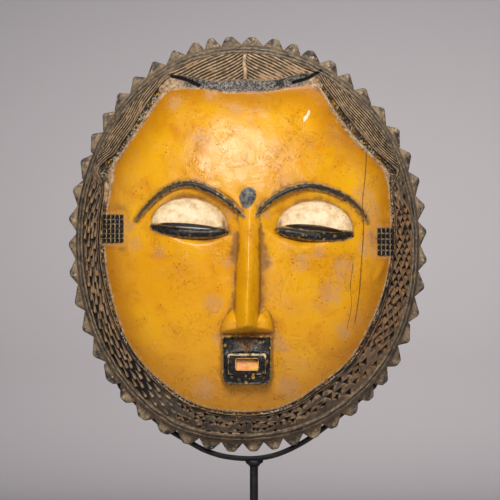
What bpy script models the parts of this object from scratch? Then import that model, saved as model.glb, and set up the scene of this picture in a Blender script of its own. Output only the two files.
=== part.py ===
"""A carved and painted wooden moon mask, held on a bent steel bar, a rod and a heavy foot.

Lengths are in metres and +Z is up. The mask looks along -Y, and the origin is at the middle of the foot's
underside. A place on the mask is given by an angle clockwise from its top, a share of the way out to the line
through the tips of the teeth, and a height forward of its back edge.
"""

import math

import bmesh
import bpy
from mathutils import Matrix, Vector

# The mask's overall sizes, its wall and its rim
MASK_WIDTH = 0.2154
MASK_HEIGHT = 0.2500
DOME_HEIGHT = 0.060
WALL = 0.010
FLANGE_DEPTH = 0.008
TOOTH_THICKNESS = 0.006
TOOTH_LENGTH = 0.0047
TEETH = 50

# How far the carving stands up, or is cut down
RIDGE_HEIGHT = 0.0020
LATTICE_RELIEF = 0.0010
STRAND_RELIEF = 0.0008
PARTING_RISE = 0.0014
HAIR_RISE = 0.0018
BAND_DROP = 0.0012
SOCKET_CUT = 0.0045
SLIT_HEIGHT = 0.0024
SLIT_LENGTH = 0.0345
LID_BULGE = 0.0075
LOWER_LID_THICKNESS = 0.0068
BROW_THICKNESS = 0.0033
NOSE_HEIGHT = 0.0185
NOSE_WIDTH = 0.0175
MOUTH_WIDTH = 0.0300
MOUTH_HEIGHT = 0.0282
MOUTH_RISE = 0.0048
MOUTH_CORNER = 0.0025
LIP_WIDTH = 0.0235
LIP_HEIGHT = 0.0128
LIP_RISE = 0.0015
LIP_DROP = 0.0020
LIP_HOLLOW_WIDTH = 0.0195
MOUTH_OPENING_WIDTH = 0.0140
MOUTH_OPENING_HEIGHT = 0.0074
MOUTH_OPENING_DEPTH = 0.0040
TEMPLE_BLOCK = 0.0023
TEMPLE_GROOVE = 0.0011
TEMPLE_RISE = 0.0009
ROOT_DEPTH = 0.0030
TOOTH_SLOPE = 0.0004

# The stand's sizes, and the clearance that two touching pieces keep
GAP = 0.0003
ROD_DIAMETER = 0.005
ROD_LENGTH = 0.086
BAR_DIAMETER = 0.0032
ROD_SIDESTEP = 0.0039
CHIN_GAP = 0.0034
BASE_WIDTH = 0.130
BASE_DEPTH = 0.110
BASE_THICKNESS = 0.012
BASE_EDGE = 0.0012
SOCKET_DEPTH = 0.008

# The carver's proportions. Each pair of a curve is an angle in degrees and a share of the way out.
TIP_LINE = ((0, 1.0), (35, 0.995), (60, 1.008), (90, 1.005), (125, 1.023), (150, 1.012), (180, 1.003),
            (208, 1.03), (235, 1.018), (262, 1.004), (290, 1.01), (318, 1.021), (336, 1.016), (360, 1.0))
FACE_EDGE = ((0, 0.724), (12, 0.750), (28, 0.845), (47, 0.772), (64, 0.812), (80, 0.798), (103, 0.776),
             (180, 0.767), (205, 0.780), (235, 0.805), (265, 0.790), (296, 0.818), (310, 0.803),
             (329, 0.840), (347, 0.755), (360, 0.724))
HATCH_EDGE = ((0, 0.765), (12, 0.808), (26, 0.895), (46, 0.825), (66, 0.895), (76, 0.848), (130, 0.822),
              (180, 0.818), (235, 0.845), (283, 0.848), (294, 0.895), (312, 0.848), (331, 0.893),
              (347, 0.806), (360, 0.765))
TOP_PANEL_HALF_ANGLE = 27
SIDE_PANEL_END = 69
BAND_EDGE = 0.925
RIDGE_INNER, RIDGE_OUTER = 0.936, 0.950
FLANGE_EDGE = 0.945
DOME_FOOT = 0.96
DOME_CURVE = 2.6
DOME_ROUNDNESS = 1.35
FACE_PARTS = (0.16, 0.34, 0.52, 0.68, 0.82)
HOLLOW_PARTS = (0.93, 0.86, 0.75, 0.60, 0.42, 0.20)
FACE_RIM = 0.93
CORD_PARTS, HAIR_FOOT = (0.2, 0.75), 0.7
BAND_ROWS = 5

# Places on the face, as shares of the mask's half width and half height from its middle
EYES = ((-0.318, 0.080), (0.383, 0.066))
EYE_TILT = 3.5
SOCKET_SHIFT = 0.060
SOCKET_SPREAD = (0.300, 0.158)
SOCKET_MOUTH = 1.3
LID_SPREAD = (0.207, 0.135)
LID_FOOT, LID_BACK = 0.25, 0.3
LOWER_LID_SPREAD = 0.222
LOWER_LID_DROP = 0.022
LOWER_LID_KNOTS = 11
LOWER_LID_END, BROW_END = 0.38, 0.45
LEFT_BROW = ((-0.616, 0.108), (-0.545, 0.180), (-0.432, 0.258), (-0.320, 0.281), (-0.203, 0.250),
             (-0.097, 0.190), (-0.014, 0.123))
RIGHT_BROW = ((0.047, 0.132), (0.105, 0.185), (0.180, 0.232), (0.276, 0.263), (0.365, 0.268),
              (0.465, 0.246), (0.560, 0.205), (0.627, 0.151), (0.660, 0.099))
NOSE_TOP = (0.014, 0.165)
NOSE_TIP = (-0.004, -0.378)
NOSE_SECTIONS = ((0.0, 0.16, 0.02), (0.12, 0.42, 0.14), (0.30, 0.62, 0.36), (0.52, 0.78, 0.60),
                 (0.75, 0.90, 0.82), (0.93, 1.0, 0.98), (1.0, 1.0, 1.0), (1.035, 0.98, 0.86),
                 (1.07, 0.9, 0.30))
NOSE_SIDES = 12
NOSE_SHARPNESS = 1.15
WINGS = ((-0.074, -0.378), (0.078, -0.382))
MOUTH_MIDDLE = (-0.003, -0.558)
MOUTH_LEAN = 0.4
LIP_HOLLOW_LEAN = -20.0
FOREHEAD_MARK = (0.0, 0.214)
WING_SIZE = (0.0080, 0.0085, 0.0110)
WING_RISE = 0.0010
WING_FOOT = 0.55
MARK_SIZE = (0.0050, 0.0022, 0.0066)
MARK_SUNK = 0.0012
TEMPLES = ((-0.735, 0.070), (0.757, 0.008))
TEMPLE_COLUMNS, TEMPLE_ROWS = 4, 5

# The bar's arms, left and right: where each passes behind the teeth, in degrees from the bottom, and how
# sharply it bends up to there. Further along are its turn over the flange and its finger inside the hollow.
ARM_STARTS = (17.7, 20.8)
ARM_BENDS = (2.6, 1.8)
ARM_PARTS = (0.0, 0.3, 0.55, 0.8)
ARM_ENTRY = 0.995
ARM_HUGS = (35.0, 41.0)
HOOK_ANGLE = 49.0
FINGER_ANGLE = 52.0
FINGER_LENGTH = 0.020
FINGER_SPRING = 0.05
HOOK_SPAN = 3.0
HUG, INNER_HUG, REAR_HUG = 1.15, 1.3, 1.1
BAR_STEP = 0.0030

ROUND_SIDES, SLIT_SIDES = 32, 12
COLUMNS = 2 * TEETH
FEW_COLUMNS = COLUMNS // 3
HALF_WIDTH = MASK_WIDTH / 2
HALF_HEIGHT = MASK_HEIGHT / 2
MEAN_RADIUS = (HALF_WIDTH + HALF_HEIGHT) / 2
RIM_HEIGHT = FLANGE_DEPTH + TOOTH_THICKNESS
BAR_CLEAR = BAR_DIAMETER / 2 + GAP
BAR_Z = BASE_THICKNESS + ROD_LENGTH + BAR_CLEAR
MASK_X = -ROD_SIDESTEP
MASK_Y = FLANGE_DEPTH - BAR_CLEAR
MASK_Z = BAR_Z + BAR_DIAMETER / 2 + CHIN_GAP + HALF_HEIGHT

WOOD = ((0.62, 0.36, 0.05), 0.45, 0.0)
STEEL = ((0.02, 0.02, 0.022), 0.5, 0.6)


def curve_value(stops, angle):
    """Value at an angle of a smooth closed curve through its stops."""
    turned = math.degrees(angle) % 360
    before, after = stops[-2], stops[1]
    ring = [(before[0] - 360, before[1]), *stops, (after[0] + 360, after[1])]
    for (last, old), (start, low), (end, high), (then, new) in zip(ring, ring[1:], ring[2:], ring[3:]):
        if turned <= end:
            span = end - start
            t = (turned - start) / span
            rise = high - low
            leave = (high - old) * span / (end - last)
            arrive = (new - low) * span / (then - start)
            bend = 3 * rise - 2 * leave - arrive
            return low + leave * t + bend * t * t + (leave + arrive - 2 * rise) * t ** 3
    return stops[-1][1]


def dome(share):
    """Height of the plain head under all the carving, at a share of the way out."""
    inside = max(0.0, 1 - (share / DOME_FOOT) ** DOME_CURVE)
    return RIM_HEIGHT + (DOME_HEIGHT - RIM_HEIGHT) * inside ** (1 / DOME_ROUNDNESS)


def mask_place(angle, share, height):
    """World place of an angle, a share of the way out and a height."""
    reach = share * curve_value(TIP_LINE, angle)
    x = MASK_X + reach * HALF_WIDTH * math.sin(angle)
    return Vector((x, MASK_Y - height, MASK_Z + reach * HALF_HEIGHT * math.cos(angle)))


def face_height(across, up):
    """Height of the plain head at shares of the half width and half height."""
    reach = math.hypot(across, up)
    return dome(reach / curve_value(TIP_LINE, math.atan2(across, up)))


def face_place(across, up, raised=0.0):
    """World place on the plain head, or raised above it."""
    height = face_height(across, up) + raised
    return Vector((MASK_X + across * HALF_WIDTH, MASK_Y - height, MASK_Z + up * HALF_HEIGHT))


def wall_inside(share):
    """Share and height of the hollow's surface, one wall in from the head at a share of the way out."""
    step = 0.01
    slope = (dome(share - step) - dome(share + step)) / (2 * step * MEAN_RADIUS)
    fall = WALL / math.hypot(1, slope)
    return share - fall * slope / MEAN_RADIUS, dome(share) - fall


def from_top(angle):
    """Degrees from the top, alike on both sides."""
    return abs((math.degrees(angle) + 180) % 360 - 180)


def carving(column, row, angle):
    """Relief of the carved band: hair fanning at the top, strands at its sides, a lattice below."""
    turned = from_top(angle)
    if turned <= TOP_PANEL_HALF_ANGLE:
        parting = PARTING_RISE if column == 0 else 0.0
        return HAIR_RISE + parting + STRAND_RELIEF * (1 if column % 2 else -1)
    if turned <= SIDE_PANEL_END:
        return HAIR_RISE + STRAND_RELIEF * (1 if row % 2 else -1)
    return -BAND_DROP + LATTICE_RELIEF * (1 if (column + row) % 2 else -1)


def face_ring(part):
    """Ring on the smooth face, at a part of the way from its middle to its edge."""
    def place(column, angle):
        share = part * curve_value(FACE_EDGE, angle)
        return share, dome(share)
    return place


def border_ring(part, cord, hair):
    """Ring between the face and the carved band: a raised cord below, the plain edge of the hair above."""
    def place(column, angle):
        edge = curve_value(FACE_EDGE, angle)
        share = edge + part * (curve_value(HATCH_EDGE, angle) - edge)
        return share, dome(share) + (hair if from_top(angle) <= SIDE_PANEL_END else cord)
    return place


def band_ring(row):
    """Ring of the carved band, from its inner edge to the outer cord."""
    def place(column, angle):
        edge = curve_value(HATCH_EDGE, angle)
        share = edge + (BAND_EDGE - edge) * (row + 0.5) / BAND_ROWS
        return share, dome(share) + carving(column, row, angle)
    return place


def rim_ring(valley, tip):
    """Ring whose points are turn by turn on a tooth and between two teeth, each a share and a height."""
    return lambda column, angle: valley if column % 2 else tip


def round_ring(share, height):
    return lambda column, angle: (share, height)


def rim_rings():
    """Rings from the outer cord over the teeth and the flange to the mouth of the hollow."""
    valley = 1 - TOOTH_LENGTH / MEAN_RADIUS
    mouth = FLANGE_EDGE - WALL / MEAN_RADIUS
    slope = TOOTH_SLOPE / MEAN_RADIUS
    tooth_rise = TOOTH_THICKNESS / 4
    return [
        round_ring(RIDGE_INNER, dome(RIDGE_INNER) + RIDGE_HEIGHT),
        round_ring(RIDGE_OUTER, dome(RIDGE_OUTER) + RIDGE_HEIGHT),
        rim_ring((valley - slope, RIM_HEIGHT), (valley + slope, RIM_HEIGHT + tooth_rise)),
        rim_ring((valley, RIM_HEIGHT - tooth_rise), (1.0, RIM_HEIGHT - tooth_rise)),
        rim_ring((valley, FLANGE_DEPTH + tooth_rise / 2), (1.0, FLANGE_DEPTH + tooth_rise / 2)),
        round_ring(FLANGE_EDGE, FLANGE_DEPTH),
        round_ring(FLANGE_EDGE, 0.0),
        round_ring(mouth, 0.0),
    ]


def mask_rings():
    """All rings of the mask, from the middle of the face to the middle of the hollow, with their counts."""
    few = [(FEW_COLUMNS, face_ring(part)) for part in FACE_PARTS]
    inner, outer = CORD_PARTS
    many = [face_ring(FACE_RIM), face_ring(1.0), border_ring(inner, RIDGE_HEIGHT, HAIR_FOOT * HAIR_RISE)]
    many += [border_ring(outer, RIDGE_HEIGHT, HAIR_RISE), border_ring(1.0, -BAND_DROP, HAIR_RISE)]
    many += [band_ring(row) for row in range(BAND_ROWS)]
    many += [round_ring(BAND_EDGE, dome(BAND_EDGE) - BAND_DROP)]
    many += rim_rings()
    hollow = [(FEW_COLUMNS, round_ring(*wall_inside(part))) for part in HOLLOW_PARTS]
    return few + [(COLUMNS, ring) for ring in many] + hollow


def add_ring(bm, count, place):
    ring = []
    for column in range(count):
        angle = 2 * math.pi * column / count
        ring.append(bm.verts.new(mask_place(angle, *place(column, angle))))
    return ring


def stitch_alike(bm, inner, outer):
    """Triangles between two rings of one count, split along the diagonal that stands further forward."""
    count = len(inner)
    for near in range(count):
        far = (near + 1) % count
        rising = inner[near].co.y + outer[far].co.y
        falling = inner[far].co.y + outer[near].co.y
        if rising <= falling:
            bm.faces.new((inner[near], outer[near], outer[far]))
            bm.faces.new((inner[near], outer[far], inner[far]))
        else:
            bm.faces.new((inner[near], outer[near], inner[far]))
            bm.faces.new((inner[far], outer[near], outer[far]))


def stitch_unlike(bm, inner, outer):
    """Triangles between two rings of different counts, stepping along the one that lags behind."""
    near, far = 0, 0
    while near < len(inner) or far < len(outer):
        start, end = inner[near % len(inner)], outer[far % len(outer)]
        if (near + 1) / len(inner) <= (far + 1) / len(outer):
            near += 1
            bm.faces.new((start, end, inner[near % len(inner)]))
        else:
            far += 1
            bm.faces.new((start, end, outer[far % len(outer)]))


def close_ring(bm, ring, middle):
    """Fan of triangles from a ring to one point."""
    point = bm.verts.new(middle)
    for near, vertex in enumerate(ring):
        bm.faces.new((vertex, ring[(near + 1) % len(ring)], point))


def loft(bm, rings, first_middle, last_middle):
    """Closed skin over a row of rings, with a point at each end."""
    for inner, outer in zip(rings, rings[1:]):
        if len(inner) == len(outer):
            stitch_alike(bm, inner, outer)
        else:
            stitch_unlike(bm, inner, outer)
    close_ring(bm, rings[0], first_middle)
    close_ring(bm, rings[-1], last_middle)
    bmesh.ops.recalc_face_normals(bm, faces=bm.faces)


def make_material(name, look):
    colour, roughness, metallic = look
    material = bpy.data.materials.new(name)
    material.use_nodes = True
    shader = material.node_tree.nodes["Principled BSDF"]
    shader.inputs["Base Color"].default_value = (*colour, 1.0)
    shader.inputs["Roughness"].default_value = roughness
    shader.inputs["Metallic"].default_value = metallic
    return material


def make_object(name, bm, collection):
    mesh = bpy.data.meshes.new(name)
    bm.to_mesh(mesh)
    bm.free()
    made = bpy.data.objects.new(name, mesh)
    collection.objects.link(made)
    return made


def hide_guide(guide):
    guide.hide_render = True
    guide.display_type = "WIRE"
    return guide


def cylinder(radius, length, sides=ROUND_SIDES):
    """Upright cylinder about its middle."""
    bm = bmesh.new()
    size = {"radius1": radius, "radius2": radius, "depth": length}
    bmesh.ops.create_cone(bm, cap_ends=True, segments=sides, **size)
    return bm


def tube(name, points, radii, collection):
    """Closed tube through points, as thick at each as its radius says."""
    curve = bpy.data.curves.new(name, "CURVE")
    curve.dimensions = "3D"
    curve.bevel_depth = 1.0
    curve.bevel_resolution = 2
    curve.use_fill_caps = True
    spline = curve.splines.new("POLY")
    spline.points.add(len(points) - 1)
    for knot, point, radius in zip(spline.points, points, radii):
        knot.co = (*point, 1.0)
        knot.radius = radius
    drawn = bpy.data.objects.new(name + "_curve", curve)
    collection.objects.link(drawn)
    bpy.context.view_layer.update()
    evaluated = drawn.evaluated_get(bpy.context.evaluated_depsgraph_get())
    mesh = bpy.data.meshes.new_from_object(evaluated)
    bm = bmesh.new()
    bm.from_mesh(mesh)
    bmesh.ops.remove_doubles(bm, verts=bm.verts, dist=0.00001)
    bmesh.ops.recalc_face_normals(bm, faces=bm.faces)
    made = make_object(name, bm, collection)
    made.matrix_world = drawn.matrix_world.copy()
    bpy.data.objects.remove(drawn)
    bpy.data.meshes.remove(mesh)
    return made


def smooth_path(points, step):
    """Points about one step apart on a smooth curve through the given ones."""
    padded = [points[0] * 2 - points[1], *points, points[-1] * 2 - points[-2]]
    path = []
    for before, start, end, after in zip(padded, padded[1:], padded[2:], padded[3:]):
        count = max(1, round((end - start).length / step))
        for part in range(count):
            t = part / count
            bend = (2 * before - 5 * start + 4 * end - after) * t * t
            turn = (3 * start - before - 3 * end + after) * t * t * t
            path.append((2 * start + (end - before) * t + bend + turn) / 2)
    return [*path, points[-1]]


def ellipsoid(name, middle, radii, collection, tilt=0.0, foot=1.0, back=1.0, segments=20, rings=10):
    """Ellipsoid whose lower half and rear half are drawn in to shares of their size."""
    bm = bmesh.new()
    bmesh.ops.create_uvsphere(bm, u_segments=segments, v_segments=rings, radius=1.0)
    for vertex in bm.verts:
        vertex.co.z *= foot if vertex.co.z < 0 else 1.0
        vertex.co.y *= back if vertex.co.y > 0 else 1.0
    bmesh.ops.scale(bm, verts=bm.verts, vec=radii)
    made = make_object(name, bm, collection)
    made.location = middle
    made.rotation_euler = (0.0, math.radians(tilt), 0.0)
    return hide_guide(made)


def block(name, frame, size, collection, edge=0.0):
    """Box in a frame of its own, with its corners rounded where an edge is given."""
    bm = bmesh.new()
    bmesh.ops.create_cube(bm, size=1.0)
    bmesh.ops.scale(bm, verts=bm.verts, vec=size)
    if edge:
        upright = [side for side in bm.edges if abs(side.verts[0].co.y - side.verts[1].co.y) > size[1] / 2]
        bmesh.ops.bevel(bm, geom=upright, offset=edge, segments=2, profile=0.5, affect="EDGES")
    made = make_object(name, bm, collection)
    made.matrix_world = frame
    return hide_guide(made)


def face_frame(across, up, share=1.0):
    """Frame on the plain head that leans and turns with it by a share of its slope."""
    step = 0.02
    fall = (face_height(across, up + step) - face_height(across, up - step)) / (2 * step * HALF_HEIGHT)
    swing = (face_height(across - step, up) - face_height(across + step, up)) / (2 * step * HALF_WIDTH)
    turned = Matrix.Rotation(math.atan(swing), 4, "Z") @ Matrix.Rotation(share * math.atan(fall), 4, "X")
    return Matrix.Translation(face_place(across, up)) @ turned


def socket_cuts(collection):
    """Shallow bowls that the eyes lie in, from under the brows to under the lower lids."""
    rise = SOCKET_MOUTH * SOCKET_CUT
    for number, (across, up) in enumerate(EYES):
        middle = face_place(across, up + SOCKET_SHIFT, rise)
        radii = (SOCKET_SPREAD[0] * HALF_WIDTH, rise + SOCKET_CUT, SOCKET_SPREAD[1] * HALF_HEIGHT)
        ellipsoid(f"socket_{number}", middle, radii, collection, EYE_TILT, segments=24)


def lids(collection):
    """Half-moon upper lids, swelling from the bottom of each socket."""
    for number, (across, up) in enumerate(EYES):
        middle = face_place(across, up, -SOCKET_CUT)
        radii = (LID_SPREAD[0] * HALF_WIDTH, LID_BULGE, LID_SPREAD[1] * HALF_HEIGHT)
        ellipsoid(f"lid_{number}", middle, radii, collection, EYE_TILT, LID_FOOT, LID_BACK, segments=22)


def lower_lids(collection):
    """Thick rolls under the slits, thinner to their ends."""
    lean = math.tan(math.radians(EYE_TILT)) * HALF_WIDTH / HALF_HEIGHT
    for number, (across, up) in enumerate(EYES):
        points, radii = [], []
        for knot in range(LOWER_LID_KNOTS):
            part = 2 * knot / (LOWER_LID_KNOTS - 1) - 1
            side = part * LOWER_LID_SPREAD
            drop = LOWER_LID_DROP * (1 - part * part) + LOWER_LID_DROP / 2 + side * lean
            sunk = LOWER_LID_THICKNESS * (1 + 3 * part * part) / 16
            points.append(face_place(across + side, up - drop, -sunk))
            radii.append(LOWER_LID_THICKNESS / 2 * (1 - (1 - LOWER_LID_END) * abs(part) ** 3))
        hide_guide(tube(f"lower_lid_{number}", points, radii, collection))


def brows(collection):
    """Long arched brows, thinner to their ends."""
    for name, line in (("left_brow", LEFT_BROW), ("right_brow", RIGHT_BROW)):
        raised = BROW_THICKNESS / 8
        points = smooth_path([face_place(across, up, raised) for across, up in line], 2 * BROW_THICKNESS)
        last = len(points) - 1
        swell = [math.sqrt(math.sin(math.pi * knot / last)) for knot in range(last)] + [0.0]
        radii = [BROW_THICKNESS / 2 * (BROW_END + (1 - BROW_END) * share) for share in swell]
        hide_guide(tube(name, points, radii, collection))


def nose(collection):
    """Long straight nose: sections across it grow from between the brows to the tip, then turn under."""
    bm = bmesh.new()
    rings = []
    for along, wide, high in NOSE_SECTIONS:
        across = NOSE_TOP[0] + (NOSE_TIP[0] - NOSE_TOP[0]) * along
        up = NOSE_TOP[1] + (NOSE_TIP[1] - NOSE_TOP[1]) * along
        foot = face_place(across, up)
        ring = []
        for side in range(NOSE_SIDES):
            angle = 2 * math.pi * side / NOSE_SIDES
            forward = math.cos(angle)
            rise = forward ** NOSE_SHARPNESS * high * NOSE_HEIGHT if forward > 0 else forward * ROOT_DEPTH
            x = foot.x + math.sin(angle) * wide * NOSE_WIDTH / 2
            ring.append(bm.verts.new((x, foot.y + ROOT_DEPTH / 2 - rise, foot.z)))
        rings.append(ring)
    ends = [sum((vertex.co for vertex in ring), Vector()) / NOSE_SIDES for ring in (rings[0], rings[-1])]
    loft(bm, rings, *ends)
    hide_guide(make_object("nose", bm, collection))


def wings(collection):
    """Nostril wings, low and round beside the nose's foot."""
    for number, (across, up) in enumerate(WINGS):
        middle = face_place(across, up, WING_RISE)
        ellipsoid(f"wing_{number}", middle, WING_SIZE, collection, foot=WING_FOOT, segments=16, rings=8)


def mouth(collection):
    """Raised square mouth with a lip standing out inside it."""
    frame = face_frame(*MOUTH_MIDDLE, MOUTH_LEAN)
    size = (MOUTH_WIDTH, 2 * MOUTH_RISE, MOUTH_HEIGHT)
    block("mouth", frame, size, collection, MOUTH_CORNER)
    size = (LIP_WIDTH, 2 * MOUTH_RISE, LIP_HEIGHT)
    block("lip", frame @ Matrix.Translation((0.0, -LIP_RISE, -LIP_DROP)), size, collection, MOUTH_CORNER / 2)


def mouth_cuts(collection):
    """The mouth's opening, and the hollow between it and the nose, which deepens upward."""
    frame = face_frame(*MOUTH_MIDDLE, MOUTH_LEAN)
    front = MOUTH_RISE + LIP_RISE
    size = (MOUTH_OPENING_WIDTH, 2 * MOUTH_OPENING_DEPTH, MOUTH_OPENING_HEIGHT)
    block("mouth_opening", frame @ Matrix.Translation((0.0, -front, -LIP_DROP)), size, collection)
    top = MOUTH_HEIGHT / 2
    low = LIP_HEIGHT / 2 - LIP_DROP
    leaning = Matrix.Rotation(math.radians(LIP_HOLLOW_LEAN), 4, "X")
    middle = frame @ Matrix.Translation((0.0, -MOUTH_RISE, (top + low) / 2)) @ leaning
    block("lip_hollow", middle, (LIP_HOLLOW_WIDTH, MOUTH_RISE, top - low), collection)


def slits(collection):
    """Eye slits, cut right through the lids and the wall, pointed at both ends."""
    for number, (across, up) in enumerate(EYES):
        middle = face_place(across, up, -WALL / 2)
        radii = (SLIT_LENGTH / 2, 2 * WALL, SLIT_HEIGHT / 2)
        slit = hide_guide(make_object(f"slit_{number}", cylinder(1.0, 2.0, SLIT_SIDES), collection))
        laid = Matrix.Diagonal((*radii, 1.0)) @ Matrix.Rotation(math.radians(90), 4, "X")
        slit.data.transform(laid)
        slit.location = middle
        slit.rotation_euler = (0.0, math.radians(EYE_TILT), 0.0)


def temple_blocks(collection):
    """Rows of small raised squares on each temple."""
    pitch = TEMPLE_BLOCK + TEMPLE_GROOVE
    for number, (across, up) in enumerate(TEMPLES):
        for column in range(TEMPLE_COLUMNS):
            for row in range(TEMPLE_ROWS):
                side = across + (column - (TEMPLE_COLUMNS - 1) / 2) * 0.8 * pitch / HALF_WIDTH
                high = up + (row - (TEMPLE_ROWS - 1) / 2) * pitch / HALF_HEIGHT
                size = (TEMPLE_BLOCK, 2 * TEMPLE_RISE, TEMPLE_BLOCK)
                block(f"temple_{number}_{column}_{row}", face_frame(side, high), size, collection)


def forehead_mark(collection):
    """Small raised drop between the brows."""
    middle = face_place(*FOREHEAD_MARK, -MARK_SUNK)
    ellipsoid("forehead_mark", middle, MARK_SIZE, collection, segments=10, rings=6)


def shape_with(mask, operation, guides):
    """Boolean modifier that joins or cuts a whole collection of guides."""
    modifier = mask.modifiers.new(guides.name, "BOOLEAN")
    modifier.operation = operation
    modifier.operand_type = "COLLECTION"
    modifier.collection = guides
    modifier.solver = "EXACT"


def make_mask(parts, guides):
    """The mask: a hollow head with toothed rim and carved hair, its face joined on and its openings cut."""
    bm = bmesh.new()
    rings = [add_ring(bm, count, place) for count, place in mask_rings()]
    deepest = DOME_HEIGHT - WALL
    loft(bm, rings, mask_place(0.0, 0.0, DOME_HEIGHT), mask_place(0.0, 0.0, deepest))
    mask = make_object("mask", bm, parts)
    mask.data.materials.append(make_material("carved_wood", WOOD))
    forms = (lids, lower_lids, brows, nose, wings, mouth, temple_blocks, forehead_mark)
    steps = (
        ("sockets", "DIFFERENCE", (socket_cuts,)),
        ("carved_forms", "UNION", forms),
        ("openings", "DIFFERENCE", (mouth_cuts, slits)),
    )
    for name, operation, makers in steps:
        group = bpy.data.collections.new(name)
        guides.children.link(group)
        for maker in makers:
            maker(group)
        shape_with(mask, operation, group)
    return mask


def arm_path(side, start, bend):
    """One arm of the bar: past the rod, along the flange, over its back edge and up inside the wall."""
    height = FLANGE_DEPTH - BAR_CLEAR
    outside = FLANGE_EDGE + HUG * BAR_CLEAR / MEAN_RADIUS
    inside = FLANGE_EDGE - (WALL + INNER_HUG * BAR_CLEAR) / MEAN_RADIUS
    behind = -REAR_HUG * BAR_CLEAR

    def place(angle, share, forward):
        return mask_place(math.radians(180 - side * angle), share, forward)

    def over_edge(turn, share, forward):
        return place(HOOK_ANGLE + turn * HOOK_SPAN, outside + share * (inside - outside), forward)

    entry = place(start, ARM_ENTRY, height)
    rise = entry.z - BAR_Z
    path = [Vector((entry.x * part, 0.0, BAR_Z + rise * part ** bend)) for part in ARM_PARTS]
    path += [entry, place((start + ARM_HUGS[0]) / 2, (ARM_ENTRY + 2 * outside) / 3, height)]
    path += [place(angle, outside, height) for angle in ARM_HUGS]
    path += [over_edge(-1.0, -0.06, FLANGE_DEPTH / 4), over_edge(-0.5, 0.06, behind)]
    path += [over_edge(0.0, 0.5, behind - BAR_DIAMETER / 4), over_edge(0.5, 0.93, behind)]
    path += [place(FINGER_ANGLE, inside - FINGER_SPRING * part ** 2, part * FINGER_LENGTH)
             for part in (0.15, 0.55, 1.0)]
    return path


def make_cradle(parts):
    """Bent bar that the mask sits in, with a finger reaching into the hollow at each end."""
    left, right = (arm_path(side, start, bend) for side, start, bend in zip((-1, 1), ARM_STARTS, ARM_BENDS))
    points = smooth_path([*reversed(left), *right[1:]], BAR_STEP)
    cradle = tube("cradle", points, [BAR_DIAMETER / 2] * len(points), parts)
    cradle.data.materials.append(make_material("cradle_steel", STEEL))
    cradle.data.shade_smooth()
    cradle.data.set_sharp_from_angle(angle=math.radians(50))
    return cradle


def make_rod(parts):
    """Upright rod, from the bottom of the foot's socket to the bar."""
    bottom = BASE_THICKNESS - SOCKET_DEPTH + GAP
    top = BAR_Z - BAR_CLEAR
    rod = make_object("rod", cylinder(ROD_DIAMETER / 2, top - bottom), parts)
    rod.location = (0.0, 0.0, (top + bottom) / 2)
    rod.data.materials.append(make_material("rod_steel", STEEL))
    rod.data.shade_smooth()
    rod.data.set_sharp_from_angle(angle=math.radians(40))
    return rod


def make_base(parts, guides):
    """Heavy flat foot with softened edges and a blind socket for the rod."""
    bm = bmesh.new()
    bmesh.ops.create_cube(bm, size=1.0)
    bmesh.ops.scale(bm, verts=bm.verts, vec=(BASE_WIDTH, BASE_DEPTH, BASE_THICKNESS))
    base = make_object("base", bm, parts)
    base.location = (0.0, 0.0, BASE_THICKNESS / 2)
    base.data.materials.append(make_material("base_steel", STEEL))
    edges = base.modifiers.new("softened_edges", "BEVEL")
    edges.width = BASE_EDGE
    edges.segments = 2
    edges.limit_method = "ANGLE"
    hole = cylinder(ROD_DIAMETER / 2 + GAP, 2 * SOCKET_DEPTH)
    cutter = hide_guide(make_object("rod_socket", hole, guides))
    cutter.location = (0.0, 0.0, BASE_THICKNESS)
    socket = base.modifiers.new("rod_socket", "BOOLEAN")
    socket.operation = "DIFFERENCE"
    socket.object = cutter
    socket.solver = "EXACT"
    return base


def build():
    for existing in list(bpy.data.objects):
        bpy.data.objects.remove(existing)
    parts = bpy.data.collections.new("moon_mask_on_stand")
    guides = bpy.data.collections.new("guides_and_cutters")
    for collection in (parts, guides):
        bpy.context.scene.collection.children.link(collection)
    make_mask(parts, guides)
    make_cradle(parts)
    make_rod(parts)
    make_base(parts, guides)


build()
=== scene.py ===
import math

import bmesh
import bpy
import numpy as np
from mathutils import Matrix, Vector


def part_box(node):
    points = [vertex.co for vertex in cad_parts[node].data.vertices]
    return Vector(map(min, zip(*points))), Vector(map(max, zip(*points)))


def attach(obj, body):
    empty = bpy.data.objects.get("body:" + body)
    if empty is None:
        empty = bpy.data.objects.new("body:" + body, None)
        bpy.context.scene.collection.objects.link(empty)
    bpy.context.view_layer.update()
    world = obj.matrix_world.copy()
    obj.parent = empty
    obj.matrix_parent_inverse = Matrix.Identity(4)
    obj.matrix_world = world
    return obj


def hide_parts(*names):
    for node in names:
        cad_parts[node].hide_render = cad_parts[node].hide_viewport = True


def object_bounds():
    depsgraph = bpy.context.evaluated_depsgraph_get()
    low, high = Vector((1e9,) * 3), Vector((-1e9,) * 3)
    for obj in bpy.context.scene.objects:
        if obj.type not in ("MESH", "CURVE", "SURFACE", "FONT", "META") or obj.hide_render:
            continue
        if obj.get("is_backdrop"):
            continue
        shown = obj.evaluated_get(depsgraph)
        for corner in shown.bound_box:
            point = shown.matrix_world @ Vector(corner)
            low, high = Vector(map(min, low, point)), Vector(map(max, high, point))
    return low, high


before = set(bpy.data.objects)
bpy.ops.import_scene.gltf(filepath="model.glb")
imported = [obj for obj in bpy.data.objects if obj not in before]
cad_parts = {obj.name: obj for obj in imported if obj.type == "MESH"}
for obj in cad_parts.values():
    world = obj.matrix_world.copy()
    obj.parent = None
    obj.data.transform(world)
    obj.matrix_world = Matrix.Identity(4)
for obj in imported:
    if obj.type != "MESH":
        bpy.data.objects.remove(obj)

low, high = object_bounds()
CAD_BOX = [list(low), list(high)]

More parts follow.
